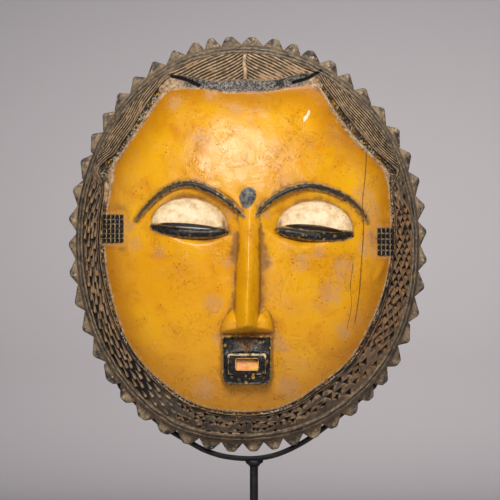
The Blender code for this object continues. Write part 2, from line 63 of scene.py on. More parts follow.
# The mask's overall sizes, its wall and its rim, in metres, as in the solids
HALF_WIDTH, HALF_HEIGHT = 0.1077, 0.1250
DOME_HEIGHT, WALL = 0.060, 0.010
FLANGE_DEPTH, TOOTH_THICKNESS = 0.008, 0.006
MEAN_RADIUS = (HALF_WIDTH + HALF_HEIGHT) / 2
RIM_HEIGHT = FLANGE_DEPTH + TOOTH_THICKNESS
MASK_X, MASK_Y, MASK_Z = -0.0039, 0.0061, 0.2299
MM = 0.001
KEPT_SHARE = 0.33

# The carver's proportions. Each pair of a curve is an angle in degrees and a share of the way out.
TIP_LINE = ((0, 1.0), (35, 0.995), (60, 1.008), (90, 1.005), (125, 1.023), (150, 1.012), (180, 1.003),
            (208, 1.03), (235, 1.018), (262, 1.004), (290, 1.01), (318, 1.021), (336, 1.016), (360, 1.0))
FACE_EDGE = ((0, 0.719), (5, 0.722), (10, 0.738), (15, 0.764), (20, 0.798), (24, 0.829), (27, 0.838),
             (30, 0.832), (35, 0.796), (40, 0.775), (46, 0.762), (51, 0.763), (56, 0.777), (60, 0.799),
             (64, 0.820), (70, 0.822), (76, 0.806), (84, 0.794), (95, 0.784), (110, 0.767), (122, 0.759),
             (135, 0.770), (150, 0.768), (160, 0.783), (170, 0.795), (190, 0.795), (202, 0.792), (214, 0.784),
             (230, 0.795), (250, 0.782), (265, 0.784), (283, 0.785), (291, 0.792), (297, 0.811), (303, 0.797),
             (312, 0.791), (320, 0.804), (325, 0.823), (329, 0.833), (333, 0.814), (340, 0.772), (346, 0.741),
             (351, 0.721), (360, 0.719))
HATCH_EDGE = ((0, 0.776), (8, 0.784), (13, 0.806), (19, 0.855), (25.5, 0.900), (30, 0.868), (35, 0.847),
              (41, 0.826), (50, 0.8186), (56, 0.826), (61, 0.850), (65, 0.880), (67.5, 0.900), (70, 0.862),
              (72.5, 0.842), (77, 0.834), (85, 0.828), (95, 0.809), (110, 0.800), (140, 0.799), (152, 0.801),
              (160, 0.817), (170, 0.826), (190, 0.825), (205, 0.819), (220, 0.812), (232, 0.819),
              (250, 0.822), (265, 0.826), (283, 0.830), (287.5, 0.833), (290, 0.855), (292.5, 0.899),
              (297, 0.872), (300, 0.843), (306, 0.834), (313, 0.833), (318, 0.850), (324, 0.871),
              (331, 0.898), (335, 0.870), (340.5, 0.822), (347, 0.785), (353, 0.778), (360, 0.776))
HAIR_END = 68.5
RIGHT_PANEL_END, LEFT_PANEL_END = 25.5, 29.0
BAND_EDGE, RIM_EDGE, FLANGE_EDGE = 0.912, 0.9540, 0.945
OUTER_CORDS = (0.9215, 0.9395)
DOME_FOOT, DOME_CURVE, DOME_ROUNDNESS = 0.96, 2.6, 1.35

# The teeth: angles of their tips from the top clockwise, shares of the way out where their width and their
# reach are measured, how far they are sunk, stretched and kept inside the box as parts of their reach, the
# ranges of their widths and lengths, and the angles between which they are blunt. A section is a length,
# a half width, a half thickness and an offset.
TOOTH_ANGLES = (1.5, 9.0, 15.3, 20.8, 28.5, 34.8, 41.5, 49.5, 57.0, 64.8, 72.1, 79.6, 86.6, 94.6, 102.1,
                109.6, 117.6, 124.3, 131.1, 137.3, 144.1, 151.4, 157.8, 165.0, 171.2, 178.0, 185.2, 192.4,
                199.5, 207.1, 215.1, 222.6, 229.2, 237.9, 245.7, 253.2, 261.7, 269.9, 276.9, 284.9, 293.2,
                301.0, 307.7, 315.0, 321.7, 329.0, 336.0, 343.2, 348.2, 354.0)
TOOTH_SIDE_SHARE, TOOTH_FOOT_SHARE, TOOTH_TIP_SHARE = 0.953, 0.949, 1.0
TOOTH_SINK, TOOTH_STRETCH, TOOTH_SPARE = 0.08, 1.10, 1.04
TOOTH_WIDTHS, TOOTH_LENGTHS = (0.99, 1.04), (0.955, 0.992)
BLUNT_FROM, BLUNT_TO, BLUNT_BELOW = 340, 32, (121, 233)
TOOTH_FOOT = ((-0.7, 0.56, 0.50, 0.0), (0.0, 0.56, 0.50, 0.0), (0.14, 0.515, 0.49, 0.01))
POINTED_TOOTH = (*TOOTH_FOOT, (0.35, 0.400, 0.45, 0.02), (0.60, 0.265, 0.39, 0.02),
                 (0.80, 0.165, 0.31, 0.03), (0.93, 0.105, 0.22, 0.03), (1.0, 0.050, 0.11, 0.03))
BLUNT_TOOTH = (*TOOTH_FOOT, (0.42, 0.405, 0.46, 0.02), (0.72, 0.285, 0.42, 0.02),
               (0.92, 0.200, 0.34, 0.03), (1.0, 0.130, 0.20, 0.03))

# The band's cuts: first and last angle, pitch in degrees, parts of the band's width where the rows lie, half
# sizes along and across with the depth in metres, and how uneven they are. The outlines are in half sizes.
DIAMOND, DIAMOND_DEEPEST = ((1, 0), (0, 1), (-1, 0), (0, -1)), (-0.35, -0.25)
TRIANGLE, TRIANGLE_DEEPEST = ((1, -0.8), (0.1, 1), (-1, -0.8)), (-0.45, -0.35)
DIAMOND_ROWS = (79.0, 127, 4.2, (0.07, 0.24, 0.41, 0.58, 0.75, 0.92), (0.0035, 0.00210, 0.0026), 0.10)
WIDE_TRIANGLE_ROWS = (129, 166, 4.3, (0.20, 0.50, 0.80), (0.0026, 0.0023, 0.0026), 0.25)
SMALL_TRIANGLE_ROWS = (168, 207, 3.9, (0.14, 0.38, 0.62, 0.86), (0.0020, 0.0017, 0.0021), 0.32)
NARROW_DIAMOND_ROWS = (71.5, 78.5, 4.4, (0.22, 0.55, 0.86), (0.0036, 0.0014, 0.0018), 0.20)

# The band's scales: first and last angle, pitch, step of every second row, rows, and where they turn longer.
# A section is a length in metres, a part of the scale's width and a rise in millimetres.
SCALES_FROM, SCALES_TO, SCALE_PITCH, SCALE_STAGGER = 207.5, 290, 4.5, 2.3
SCALE_ROWS, LONG_SCALES_FROM, SHORT_SCALE = (0.13, 0.38, 0.63, 0.88), 232, 0.72
SCALE_SECTIONS = ((-0.0056, 0.12, 0.5), (-0.0036, 0.28, 0.9), (0.0, 0.40, 1.6), (0.0026, 0.46, 2.2),
                  (0.0041, 0.38, 2.3), (0.0047, 0.18, 1.5))

# Relief of the carving, in metres
CORD_RISE, CORD_HALF = 0.0012, 0.00062
OUTER_RISE, OUTER_HALF = 0.0015, 0.00085
HAIR_RISE, BAND_DROP, SCALE_DROP = 0.0018, 0.0010, 0.0018
STRAND_DEPTH, STRAND_PITCH, SIDE_PITCH = 0.0014, 0.00205, 0.00138
PARTING_RISE, PARTING_HALF = 0.0012, 0.0013
SOCKET_CUT, SOCKET_RISE = 0.0050, 0.00620

# The weld: heights over the rod's top and radii
BEAD_SECTIONS = ((-0.0030, 0.00252), (-0.0024, 0.0031), (-0.0014, 0.0037), (-0.0004, 0.0041),
                 (0.0006, 0.0038), (0.0014, 0.0031))

# Places on the face, as shares of the half width and half height from its middle
EYES = ((-0.320, 0.080), (0.370, 0.066))
EYE_TILT = math.radians(3.5)
SOCKET_SHIFT, SOCKET_SPREAD = 0.060, (0.300, 0.158)
LID_SPREAD, LID_BULGE = (0.207, 0.135), 0.0082
LOWER_LID_SPREAD, LOWER_LID_DROP, LOWER_LID_SINK, LOWER_LID_HALF = 0.196, 0.016, 0.014, 0.0033
LEFT_BROW = ((-0.616, 0.108), (-0.545, 0.180), (-0.432, 0.258), (-0.320, 0.281), (-0.203, 0.250),
             (-0.097, 0.190), (-0.014, 0.123))
RIGHT_BROW = ((0.047, 0.132), (0.105, 0.185), (0.180, 0.232), (0.276, 0.263), (0.365, 0.268),
              (0.465, 0.246), (0.560, 0.205), (0.627, 0.151), (0.660, 0.099))
BROW_HALF = 0.0024
NOSE_TOP, NOSE_TIP = (0.014, 0.165), (-0.004, -0.378)
NOSE_HEIGHT, NOSE_WIDTH, NOSE_ROOT = 0.0185, 0.0165, 0.0015
NOSE_WIDE = ((-0.1, 0.66), (0.0, 0.80), (0.12, 0.90), (0.30, 0.92), (0.52, 0.93), (0.75, 0.96), (0.93, 1.0),
             (1.0, 1.04), (1.12, 1.06))
NOSE_HIGH = ((-0.1, 0.04), (0.0, 0.15), (0.12, 0.29), (0.30, 0.46), (0.52, 0.65), (0.75, 0.84), (0.93, 0.97),
             (1.0, 1.0), (1.12, 1.0))
WING_RISE = 0.0088
MOUTH_MIDDLE, MOUTH_LEAN = (-0.003, -0.558), 0.4
MOUTH_SIZE, MOUTH_TOP, MOUTH_RISE, MOUTH_CORNER = (0.0300, 0.0282), 0.0012, 0.0048, 0.0025
LIP_SIZE, LIP_RISE, LIP_DROP = (0.0228, 0.0126), 0.0015, 0.0015
LIP_HOLLOW, LIP_HOLLOW_DEPTH = 0.0175, 0.0044
OPENING_SIZE, OPENING_DEPTH, OPENING_CORNER = (0.0132, 0.0068), 0.0042, 0.0009
FOREHEAD_MARK, MARK_SIZE, MARK_SUNK = (-0.002, 0.214), (0.0050, 0.0022, 0.0066), 0.0012
# The squares of each temple: middle, columns, rows, and their pitch across and up
TEMPLES = ((-0.742, 0.070, 5, 6, 0.00262, 0.00282), (0.763, 0.008, 4, 5, 0.00265, 0.00336))
SQUARE_SHARE, TEMPLE_RISE = 0.78, 0.0012

# Where parts and marks of wear lie on the photograph, in its pixels
PHOTO_MIDDLE, PHOTO_HALF = (247.5, 243.5), (179.5, 208.0)
CRACK = ((366, 148), (364, 178), (361, 205), (362, 232), (360, 262), (358, 292), (353, 326))
FINE_CRACK = ((352, 262), (349, 285), (350, 306), (345, 330))
WHITE_CHIPS = ((305.0, 119.5, 1.6, 4.2, 32), (307.5, 115.0, 1.3, 3.4, 20))
RIGHT_NOTCH, LEFT_NOTCH = ((293, 84), (308, 79), (321, 70.5)), ((199, 87), (186, 81), (172, 77))
CHEEK_RIDGE = ((383, 262), (380, 270), (374, 281))
WORN_PLACES = ((176, 104, 9), (212, 95, 8), (203, 141, 11), (236, 112, 7), (362, 196, 11), (369, 214, 10),
               (371, 238, 9), (364, 250, 8), (342, 268, 12), (329, 293, 13), (300, 262, 9), (317, 251, 7),
               (214, 303, 10), (221, 338, 8), (272, 337, 9), (283, 345, 7), (229, 214, 6), (266, 214, 6),
               (131, 226, 6), (137, 244, 7), (229, 262, 6), (267, 262, 7), (288, 385, 12), (205, 388, 12),
               (343, 330, 9), (160, 252, 7))
# Where the border of the face is rubbed at a corner: angle and spread in degrees
WORN_CORNERS = ((25.5, 3.6), (331.0, 5.5), (287.0, 4.5))
# The nose's two sides, as rows with their columns, and its foot, as columns with their rows
NOSE_LEFT_SIDE = ((205, 243.5), (215, 240), (228, 237.5), (250, 237), (292, 235.5), (300, 234),
                  (308, 230.5), (316, 225.5), (323, 222), (329, 221))
NOSE_RIGHT_SIDE = ((205, 254.5), (215, 258.5), (228, 261), (250, 261), (292, 262), (300, 263.5),
                   (308, 267.5), (316, 271), (323, 273), (329, 274))
NOSE_FOOT = ((216, 329), (223, 328.5), (233, 327.2), (241, 325.4), (248, 324.2), (256, 325.6), (266, 327),
             (272, 327.8), (280, 328.5))
# The eyes' slits: their two ends, their height in metres and their slant in degrees, and where the cut starts
LEFT_SLIT = ((161.5, 224.5), (220.0, 229.5), 0.0027, 9.0)
RIGHT_SLIT = ((285.0, 226.5), (341.0, 232.5), 0.0032, 19.0)
SLIT_AHEAD = 0.006

# The photograph's frame: how wide it is at the mask, where its middle lies, and how far off the camera is
VIEW_WIDTH, VIEW_MIDDLE, VIEW_DEPTH, CAMERA_DISTANCE = 0.300, (-0.0024, 0.2260), -0.015, 1.9
# Middle of the pool of light painted on the paper behind the mask
PAINTED_GLOW_MIDDLE = (0.085, 0.0, 0.222)
# The sweep behind the mask: how far the sheets reach, where the floor starts to bend up, and its radius
STAGE_REACH, SWEEP_START, SWEEP_BEND = 3.0, 0.95, 0.12


def ease(value, start, end):
    """0 below start and 1 above end, smooth between them."""
    part = np.clip((value - start) / (end - start), 0.0, 1.0)
    return part * part * (3 - 2 * part)


def soft_max(first, second, soft):
    """The higher of two, with the crease between them rounded."""
    part = np.clip(0.5 + 0.5 * (first - second) / soft, 0.0, 1.0)
    return second + (first - second) * part + soft * part * (1 - part)


def through(stops, query):
    """Smooth curve through stops of a place and a value."""
    at, value = np.array(stops, dtype=float).T
    slope = np.empty(len(at))
    slope[1:-1] = (value[2:] - value[:-2]) / (at[2:] - at[:-2])
    slope[0] = (value[1] - value[0]) / (at[1] - at[0])
    slope[-1] = (value[-1] - value[-2]) / (at[-1] - at[-2])
    query = np.clip(query, at[0], at[-1])
    start = np.clip(np.searchsorted(at, query, side="right") - 1, 0, len(at) - 2)
    span = at[start + 1] - at[start]
    part = (query - at[start]) / span
    rise = value[start + 1] - value[start]
    leave, arrive = slope[start] * span, slope[start + 1] * span
    bend = 3 * rise - 2 * leave - arrive
    return value[start] + leave * part + bend * part ** 2 + (leave + arrive - 2 * rise) * part ** 3


def around(stops, angle):
    """Smooth closed curve through stops in degrees, at angles in radians."""
    before = [(place - 360, value) for place, value in stops[-3:-1]]
    after = [(place + 360, value) for place, value in stops[1:3]]
    return through([*before, *stops, *after], np.degrees(angle) % 360)


def waviness(x, z, length, seed):
    """Smooth unevenness from -1 to 1, with waves about as long as given."""
    draw = np.random.default_rng(seed)
    total = 0.0
    for _ in range(7):
        heading, phase = draw.uniform(0, 2 * math.pi), draw.uniform(0, 2 * math.pi)
        stretch = draw.uniform(0.6, 1.5)
        turn = (x * math.cos(heading) + z * math.sin(heading)) * 2 * math.pi / (length * stretch)
        total = total + np.sin(turn + phase)
    return total / 4.5


def dome(share):
    """Height of the plain head under all the carving, at a share of the way out."""
    inside = np.clip(1 - (np.abs(share) / DOME_FOOT) ** DOME_CURVE, 0.0, None)
    return RIM_HEIGHT + (DOME_HEIGHT - RIM_HEIGHT) * inside ** (1 / DOME_ROUNDNESS)


def polar(x, z):
    """Angle from the top and share of the way out, of places in metres from the mask's middle."""
    angle = np.arctan2(x / HALF_WIDTH, z / HALF_HEIGHT)
    return angle, np.hypot(x / HALF_WIDTH, z / HALF_HEIGHT) / around(TIP_LINE, angle)


def head_height(x, z):
    return dome(polar(x, z)[1])


def spot(place):
    """Metres from the mask's middle, of a pair of shares."""
    return place[0] * HALF_WIDTH, place[1] * HALF_HEIGHT


def from_photo(pixel):
    """Metres from the mask's middle, of a pixel of the photograph."""
    across = (pixel[0] - PHOTO_MIDDLE[0]) / PHOTO_HALF[0]
    up = (PHOTO_MIDDLE[1] - pixel[1]) / PHOTO_HALF[1]
    return spot((across, up))


def smooth_line(points, count=40):
    """Evenly counted points on a smooth curve through the given ones."""
    stops = np.array(points, dtype=float)
    length = np.concatenate(([0.0], np.cumsum(np.hypot(*np.diff(stops, axis=0).T))))
    at = np.linspace(0, length[-1], count)
    columns = [through(np.column_stack((length, column)), at) for column in stops.T]
    return np.column_stack(columns)


def along_line(x, z, points):
    """Distance to a line through points, and how far along it the nearest place is, from 0 to 1."""
    nearest = np.full(np.shape(x), 1.0)
    part = np.zeros(np.shape(x))
    total = len(points) - 1
    for number, (start, end) in enumerate(zip(points[:-1], points[1:])):
        step = end - start
        along = np.clip(((x - start[0]) * step[0] + (z - start[1]) * step[1]) / (step @ step), 0.0, 1.0)
        gap = np.hypot(x - start[0] - along * step[0], z - start[1] - along * step[1])
        closer = gap < nearest
        nearest = np.where(closer, gap, nearest)
        part = np.where(closer, (number + along) / total, part)
    return nearest, part


def beside_line(x, z, points):
    """Distance to a line that runs down, under 0 on its left, and 1 beside the line's own length."""
    gap, part = along_line(x, z, points)
    row = np.interp(-z, -points[:, 1], points[:, 0])
    return np.copysign(gap, x - row), ease(part, 0.0, 0.04) * (1 - ease(part, 0.96, 1.0)) * (gap < 0.02)


def metres(places):
    return smooth_line([spot(place) for place in places])


def photo_line(pixels):
    return smooth_line([from_photo(pixel) for pixel in pixels])


def notch_gap(x, z):
    """Distance to the nearer of the two cuts beside the hair's peak."""
    return np.minimum(*(along_line(x, z, photo_line(notch))[0] for notch in (RIGHT_NOTCH, LEFT_NOTCH)))


def rounded_box(x, z, size, corner):
    """Distance inside a box with round corners, negative outside it."""
    side, rise = np.abs(x) - size[0] / 2 + corner, np.abs(z) - size[1] / 2 + corner
    outside = np.hypot(np.clip(side, 0.0, None), np.clip(rise, 0.0, None))
    return corner - outside - np.minimum(np.maximum(side, rise), 0.0)


def swell(part):
    """1 in the middle of a brow and smaller to its ends."""
    return 0.45 + 0.55 * np.sqrt(np.clip(np.sin(math.pi * part), 0.0, None))


def eye_place(eye, x, z, shift=0.0):
    """Places in an eye's own tilted frame, and the head's height at its middle."""
    middle = spot((eye[0], eye[1] + shift))
    side, rise = x - middle[0], z - middle[1]
    across = side * math.cos(EYE_TILT) - rise * math.sin(EYE_TILT)
    up = side * math.sin(EYE_TILT) + rise * math.cos(EYE_TILT)
    return across, up, float(head_height(*map(np.float64, middle)))


def lower_lid_line(eye):
    lean = math.tan(EYE_TILT) * HALF_WIDTH / HALF_HEIGHT
    points = []
    for part in np.linspace(-1, 1, 21):
        side = part * LOWER_LID_SPREAD
        drop = LOWER_LID_DROP * (1 - part * part) + LOWER_LID_SINK + side * lean
        points.append(spot((eye[0] + side, eye[1] - drop)))
    return np.array(points)


def lower_lid_radius(part):
    return LOWER_LID_HALF * (1 - 0.36 * np.abs(2 * part - 1) ** 6)


def mouth_plane(x, z):
    """Places about the mouth's middle, and the height of its leaning frame there."""
    middle = spot(MOUTH_MIDDLE)
    step = 0.0025
    here = float(head_height(*map(np.float64, middle)))
    above = head_height(middle[0], middle[1] + step)
    fall = float(above - head_height(middle[0], middle[1] - step)) / (2 * step)
    lean = math.tan(MOUTH_LEAN * math.atan(fall))
    side, rise = x - middle[0], z - middle[1]
    return side, rise, here + lean * rise


def face_forms(x, z):
    """Height of the face with its eyes, brows, nose and mouth, on the smooth head."""
    head = dome(polar(x, z)[1])
    height = head.copy()
    for eye in EYES:
        across, up, middle = eye_place(eye, x, z, SOCKET_SHIFT)
        reach = (across / (SOCKET_SPREAD[0] * HALF_WIDTH)) ** 2 + (up / (SOCKET_SPREAD[1] * HALF_HEIGHT)) ** 2
        bowl = middle + SOCKET_RISE - (SOCKET_RISE + SOCKET_CUT) * np.sqrt(np.clip(1 - reach, 0.0, None))
        cut = np.where(reach < 1, -soft_max(-height, -bowl, 0.0018), height)
        height = np.minimum(height, cut)
        across, up, middle = eye_place(eye, x, z)
        tall = np.where(up > 0, LID_SPREAD[1] * HALF_HEIGHT, 0.25 * LID_SPREAD[1] * HALF_HEIGHT)
        reach = (across / (LID_SPREAD[0] * HALF_WIDTH)) ** 2 + (up / tall) ** 2
        lid = middle - SOCKET_CUT + LID_BULGE * np.sqrt(np.clip(1 - reach, 0.0, None))
        height = np.where(reach < 1, soft_max(height, lid, 0.0004), height)
        gap, part = along_line(x, z, lower_lid_line(eye))
        radius = lower_lid_radius(part)
        roll = head - LOWER_LID_HALF * (1 + 3 * (2 * part - 1) ** 2) / 8
        roll = roll + np.sqrt(np.clip(radius ** 2 - gap ** 2, 0.0, None))
        height = np.where(gap < radius, soft_max(height, roll, 0.0005), height)
    for line in (LEFT_BROW, RIGHT_BROW):
        gap, part = along_line(x, z, metres(line))
        radius = BROW_HALF * swell(part)
        arch = head + BROW_HALF / 4 + np.sqrt(np.clip(radius ** 2 - gap ** 2, 0.0, None))
        height = np.where(gap < radius, soft_max(height, arch, 0.0003), height)
    height = nose_form(x, z, head, height)
    gap, part = along_line(x, z, photo_line(CHEEK_RIDGE))
    height = height + 0.0012 * np.exp(-(gap / 0.0021) ** 2) * swell(part)
    side, rise = x - spot(FOREHEAD_MARK)[0], z - spot(FOREHEAD_MARK)[1]
    reach = mark_reach(side, rise)
    drop = head - MARK_SUNK + (MARK_SIZE[1] + 0.0004) * np.sqrt(np.clip(1 - reach, 0.0, None))
    height = np.where(reach < 1, soft_max(height, drop, 0.0003), height)
    return mouth_form(x, z, height)


def mark_reach(side, rise):
    """Below 1 inside the forehead's leaf-shaped mark, which is slimmer below."""
    slim = MARK_SIZE[0] * (1 + 0.22 * np.clip(rise / MARK_SIZE[2], -1, 1))
    return np.abs((side - 0.15 * (rise + 0.002)) / slim) ** 1.7 + np.abs(rise / MARK_SIZE[2]) ** 1.9


def nose_form(x, z, head, height):
    """Long straight nose with flared wings and a flat foot, standing on a height."""
    column = PHOTO_MIDDLE[0] + x / HALF_WIDTH * PHOTO_HALF[0]
    row = PHOTO_MIDDLE[1] - z / HALF_HEIGHT * PHOTO_HALF[1]
    left, right = through(NOSE_LEFT_SIDE, row), through(NOSE_RIGHT_SIDE, row)
    flare = np.clip(np.abs(column - (left + right) / 2) / ((right - left) / 2), 0.0, 1.0)
    wing = WING_RISE * ease(row, 297, 322) * np.sqrt(1 - flare ** 4)
    along = (z / HALF_HEIGHT - NOSE_TOP[1]) / (NOSE_TIP[1] - NOSE_TOP[1])
    middle = (NOSE_TOP[0] + (NOSE_TIP[0] - NOSE_TOP[0]) * along) * HALF_WIDTH
    half = through(NOSE_WIDE, along) * NOSE_WIDTH / 2
    tall = through(NOSE_HIGH, along) * NOSE_HEIGHT
    side = np.clip(np.abs(x - middle) / half, 0.0, 1.0)
    ridge = tall * (1 - side ** 1.40) ** 0.74
    rise = soft_max(ridge, wing, 0.0010) - NOSE_ROOT
    under = (row - through(NOSE_FOOT, column)) / (4.0 + 4.5 * (1 - flare ** 2))
    rise = rise * (1 - ease(under, -0.12, 1.0)) - NOSE_ROOT * ease(under, 0.6, 1.0)
    shown = (along > -0.1) & (under < 1.0) & (flare < 1)
    return np.where(shown, soft_max(height, head + rise, 0.0010), height)


def mouth_edge(side, rise):
    """Distance inside the mouth's outline, which is rounder below."""
    size = (MOUTH_SIZE[0], MOUTH_SIZE[1] + MOUTH_TOP)
    corner = np.where(rise < 0, 2.2 * MOUTH_CORNER, 0.7 * MOUTH_CORNER)
    return rounded_box(side, rise - MOUTH_TOP / 2, size, corner)


def mouth_form(x, z, height):
    """Raised square mouth with a lip inside it and a valley that deepens up to the nose."""
    side, rise, plane = mouth_plane(x, z)
    edge = mouth_edge(side, rise)
    inside = ease(edge, -0.0006, 0.0007)
    lip = rounded_box(side, rise + LIP_DROP, LIP_SIZE, MOUTH_CORNER / 2)
    low_edge, top_edge = LIP_SIZE[1] / 2 - LIP_DROP, MOUTH_SIZE[1] / 2
    upward = np.clip((rise - low_edge) / (top_edge - low_edge), 0.0, 1.2)
    valley = 1 - np.clip(np.abs(side + 0.0004) / (0.5 * LIP_HOLLOW + 0.002), 0.0, 1.0)
    deep = 0.0006 + LIP_HOLLOW_DEPTH * upward * (0.35 + 0.9 * valley)
    hollow = ease(rise - low_edge, -0.0003, 0.0006) * deep * ease(edge, 0.0002, 0.0022)
    below = 1 - ease(rise, low_edge - 0.002, low_edge + 0.002)
    groove = 0.0006 * np.exp(-((edge - 0.0021) / 0.0005) ** 2) * below
    step = 0.0005 * np.exp(-((lip - 0.0013) / 0.0004) ** 2)
    top = plane + MOUTH_RISE + LIP_RISE * ease(lip, -0.0004, 0.0004) - hollow - groove - step
    return height + (np.maximum(top, height - 0.0030) - height) * inside


def strands(angle, share, x, z):
    """0 between strands of hair and 1 on them, how far a place is in a side panel, and its strand."""
    turned = np.abs((np.degrees(angle) + 180) % 360 - 180)
    side = np.abs(x + 0.0012)
    start = z + 0.62 * side - 2.6 * side ** 2
    fan = start / STRAND_PITCH + 0.25 * np.sin(side * 190 + np.where(x > 0, 1.3, 0.0))
    hatch = around(HATCH_EDGE, angle)
    outward = (share - hatch) / (BAND_EDGE - 0.004 - hatch)
    length = (share - hatch) * MEAN_RADIUS / SIDE_PITCH + 0.25 * np.sin(np.degrees(angle) * 0.35)
    wave_top = 0.5 + 0.5 * np.cos(2 * math.pi * fan)
    wave_side = 0.5 + 0.5 * np.cos(2 * math.pi * length)
    wave_side = np.where(outward > 1.0, 1.0, wave_side)
    end = np.where(np.sin(angle) > 0, RIGHT_PANEL_END, LEFT_PANEL_END)
    part = ease(turned, end - 0.8, end + 0.8)
    wave = wave_top * (1 - part) + wave_side * part
    return wave ** 1.5, part, np.where(part > 0.5, length, fan)


def hair_zone(angle):
    """1 where the band is hair and 0 where it is carved."""
    turned = np.abs((np.degrees(angle) + 180) % 360 - 180)
    return 1 - ease(turned, HAIR_END - 1.5, HAIR_END + 2.5)


def strand_parts(angle, share, x, z, beyond, width):
    """How much a place lies on the hair's carved panels, and on the parting between them."""
    panel = ease(beyond - width, 0.0002, 0.0008) * (1 - ease(share, BAND_EDGE - 0.005, BAND_EDGE - 0.001))
    _, side_panel, _ = strands(angle, share, x, z)
    sway = 0.0004 * np.sin(z * 420)
    parting = np.sqrt(np.clip(1 - ((x + 0.0016 + sway) / PARTING_HALF) ** 2, 0.0, None))
    return panel, parting * (1 - side_panel) * panel


def band_heights(angle, share, x, z):
    """Relief of the border, the carved band and the outer cords, and the level that their tops reach."""
    face, hatch = around(FACE_EDGE, angle), around(HATCH_EDGE, angle)
    hair = hair_zone(angle)
    sway = 0.00022 * waviness(x, z, 0.014, 5)
    beyond = (share - face) * MEAN_RADIUS + sway
    width = (hatch - face) * MEAN_RADIUS
    out = beyond / width
    # Border of the face beside the lattice: a groove between the paint and a thin cord, and a thin ridge
    cords = 0.0
    for middle, rise in ((0.10, 0.4), (0.66, 1.0), (0.97, 0.8)):
        gap = (beyond - middle * width) / CORD_HALF
        cords = cords + rise * CORD_RISE * np.sqrt(np.clip(1 - gap ** 2, 0.0, None))
    border = cords - 0.0005 * ease(beyond, -0.0004, 0.0003)
    # Border of the face under the hair: a plain edge on top, and a worn stripe and a groove at the sides
    wave, side_panel, _ = strands(angle, share, x, z)
    top_border = HAIR_RISE * ease(out, -0.05, 0.85)
    side_border = 0.0008 * ease(out, -0.10, 0.08) * (1 - ease(out, 0.26, 0.38))
    side_border = side_border - 0.0006 * ease(out, 0.28, 0.40) * (1 - ease(out, 0.78, 0.88))
    side_border = side_border + HAIR_RISE * ease(out, 0.80, 0.93)
    edge_rise = top_border * (1 - side_panel) + side_border * side_panel
    crease = 0.0006 * np.exp(-((beyond + 0.0002) / 0.0006) ** 2)
    hairline = 0.0008 * np.exp(-((beyond - width) / 0.0005) ** 2)
    depth = STRAND_DEPTH * (0.8 + 0.3 * waviness(x, z, 0.007, 8))
    panel, parting = strand_parts(angle, share, x, z, beyond, width)
    corner = np.exp(-(notch_gap(x, z) / 0.0011) ** 2)
    hair_relief = edge_rise - crease + hairline - depth * (1 - wave) * panel * (1 - parting)
    hair_relief = hair_relief + PARTING_RISE * parting - 0.0026 * corner
    # The carved band and the two outer cords
    scaled = ease(np.degrees(angle) % 360, 208, 236) * (1 - ease(np.degrees(angle) % 360, 288, 292))
    drop = BAND_DROP + (SCALE_DROP - BAND_DROP) * scaled
    in_band = ease(beyond - width, -0.0001, 0.0005)
    lattice_relief = border * (1 - in_band) - drop * in_band
    relief = lattice_relief * (1 - hair) + hair_relief * hair
    fade = ease(share, BAND_EDGE - 0.004, BAND_EDGE + 0.002)
    relief = relief * (1 - fade)
    for middle in OUTER_CORDS:
        gap = ((share - middle) * MEAN_RADIUS + sway) / OUTER_HALF
        relief = relief + OUTER_RISE * np.sqrt(np.clip(1 - gap ** 2, 0.0, None))
    relief = relief - 0.0009 * ease(share, RIM_EDGE - 0.004, RIM_EDGE)
    # Level that the tops of the carving reach there, to tell what is cut below it
    level = CORD_RISE * (1 - in_band) - BAND_DROP * in_band
    level = level * (1 - hair) + HAIR_RISE * ease(out, 0.0, 0.6) * hair
    level = level * (1 - fade) + OUTER_RISE * fade
    outside = ease(beyond, -0.0006, 0.0)
    return relief * outside, level * outside


def front_height(x, z):
    """Height of the whole carved front, and the level of the tops of its carving."""
    angle, share = polar(x, z)
    relief, level = band_heights(angle, share, x, z)
    inside = ease(around(FACE_EDGE, angle) - share, 0.0, 0.02)
    plain = face_forms(x, z) * inside + dome(share) * (1 - inside)
    uneven = 0.00030 * waviness(x, z, 0.026, 3) + 0.00013 * waviness(x, z, 0.009, 4)
    return plain + relief + uneven, plain + level + uneven


def place(angle, share, height):
    """World places of angles, shares of the way out and heights, as an array of points."""
    reach = share * around(TIP_LINE, angle)
    x = MASK_X + reach * HALF_WIDTH * np.sin(angle)
    z = MASK_Z + reach * HALF_HEIGHT * np.cos(angle)
    return np.column_stack((x, MASK_Y - height + 0 * x, z))


def gouged(x, z):
    """Shallow scallops that an adze leaves in the hollow."""
    draw = np.random.default_rng(21)
    middles = np.column_stack((draw.uniform(-0.1, 0.1, 330), draw.uniform(-0.115, 0.115, 330)))
    gap = (x[:, None] - middles[None, :, 0]) ** 2 * 1.8 + (z[:, None] - middles[None, :, 1]) ** 2 * 0.7
    return 0.0006 * np.clip(np.min(gap, axis=1) / 0.00006, 0.0, 1.5)


def hollow_place(share):
    """Share and height of the hollow's surface, one wall in from the head."""
    step = 0.01
    slope = (dome(share - step) - dome(share + step)) / (2 * step * MEAN_RADIUS)
    fall = WALL / np.hypot(1, slope)
    return share - fall * slope / MEAN_RADIUS, dome(share) - fall


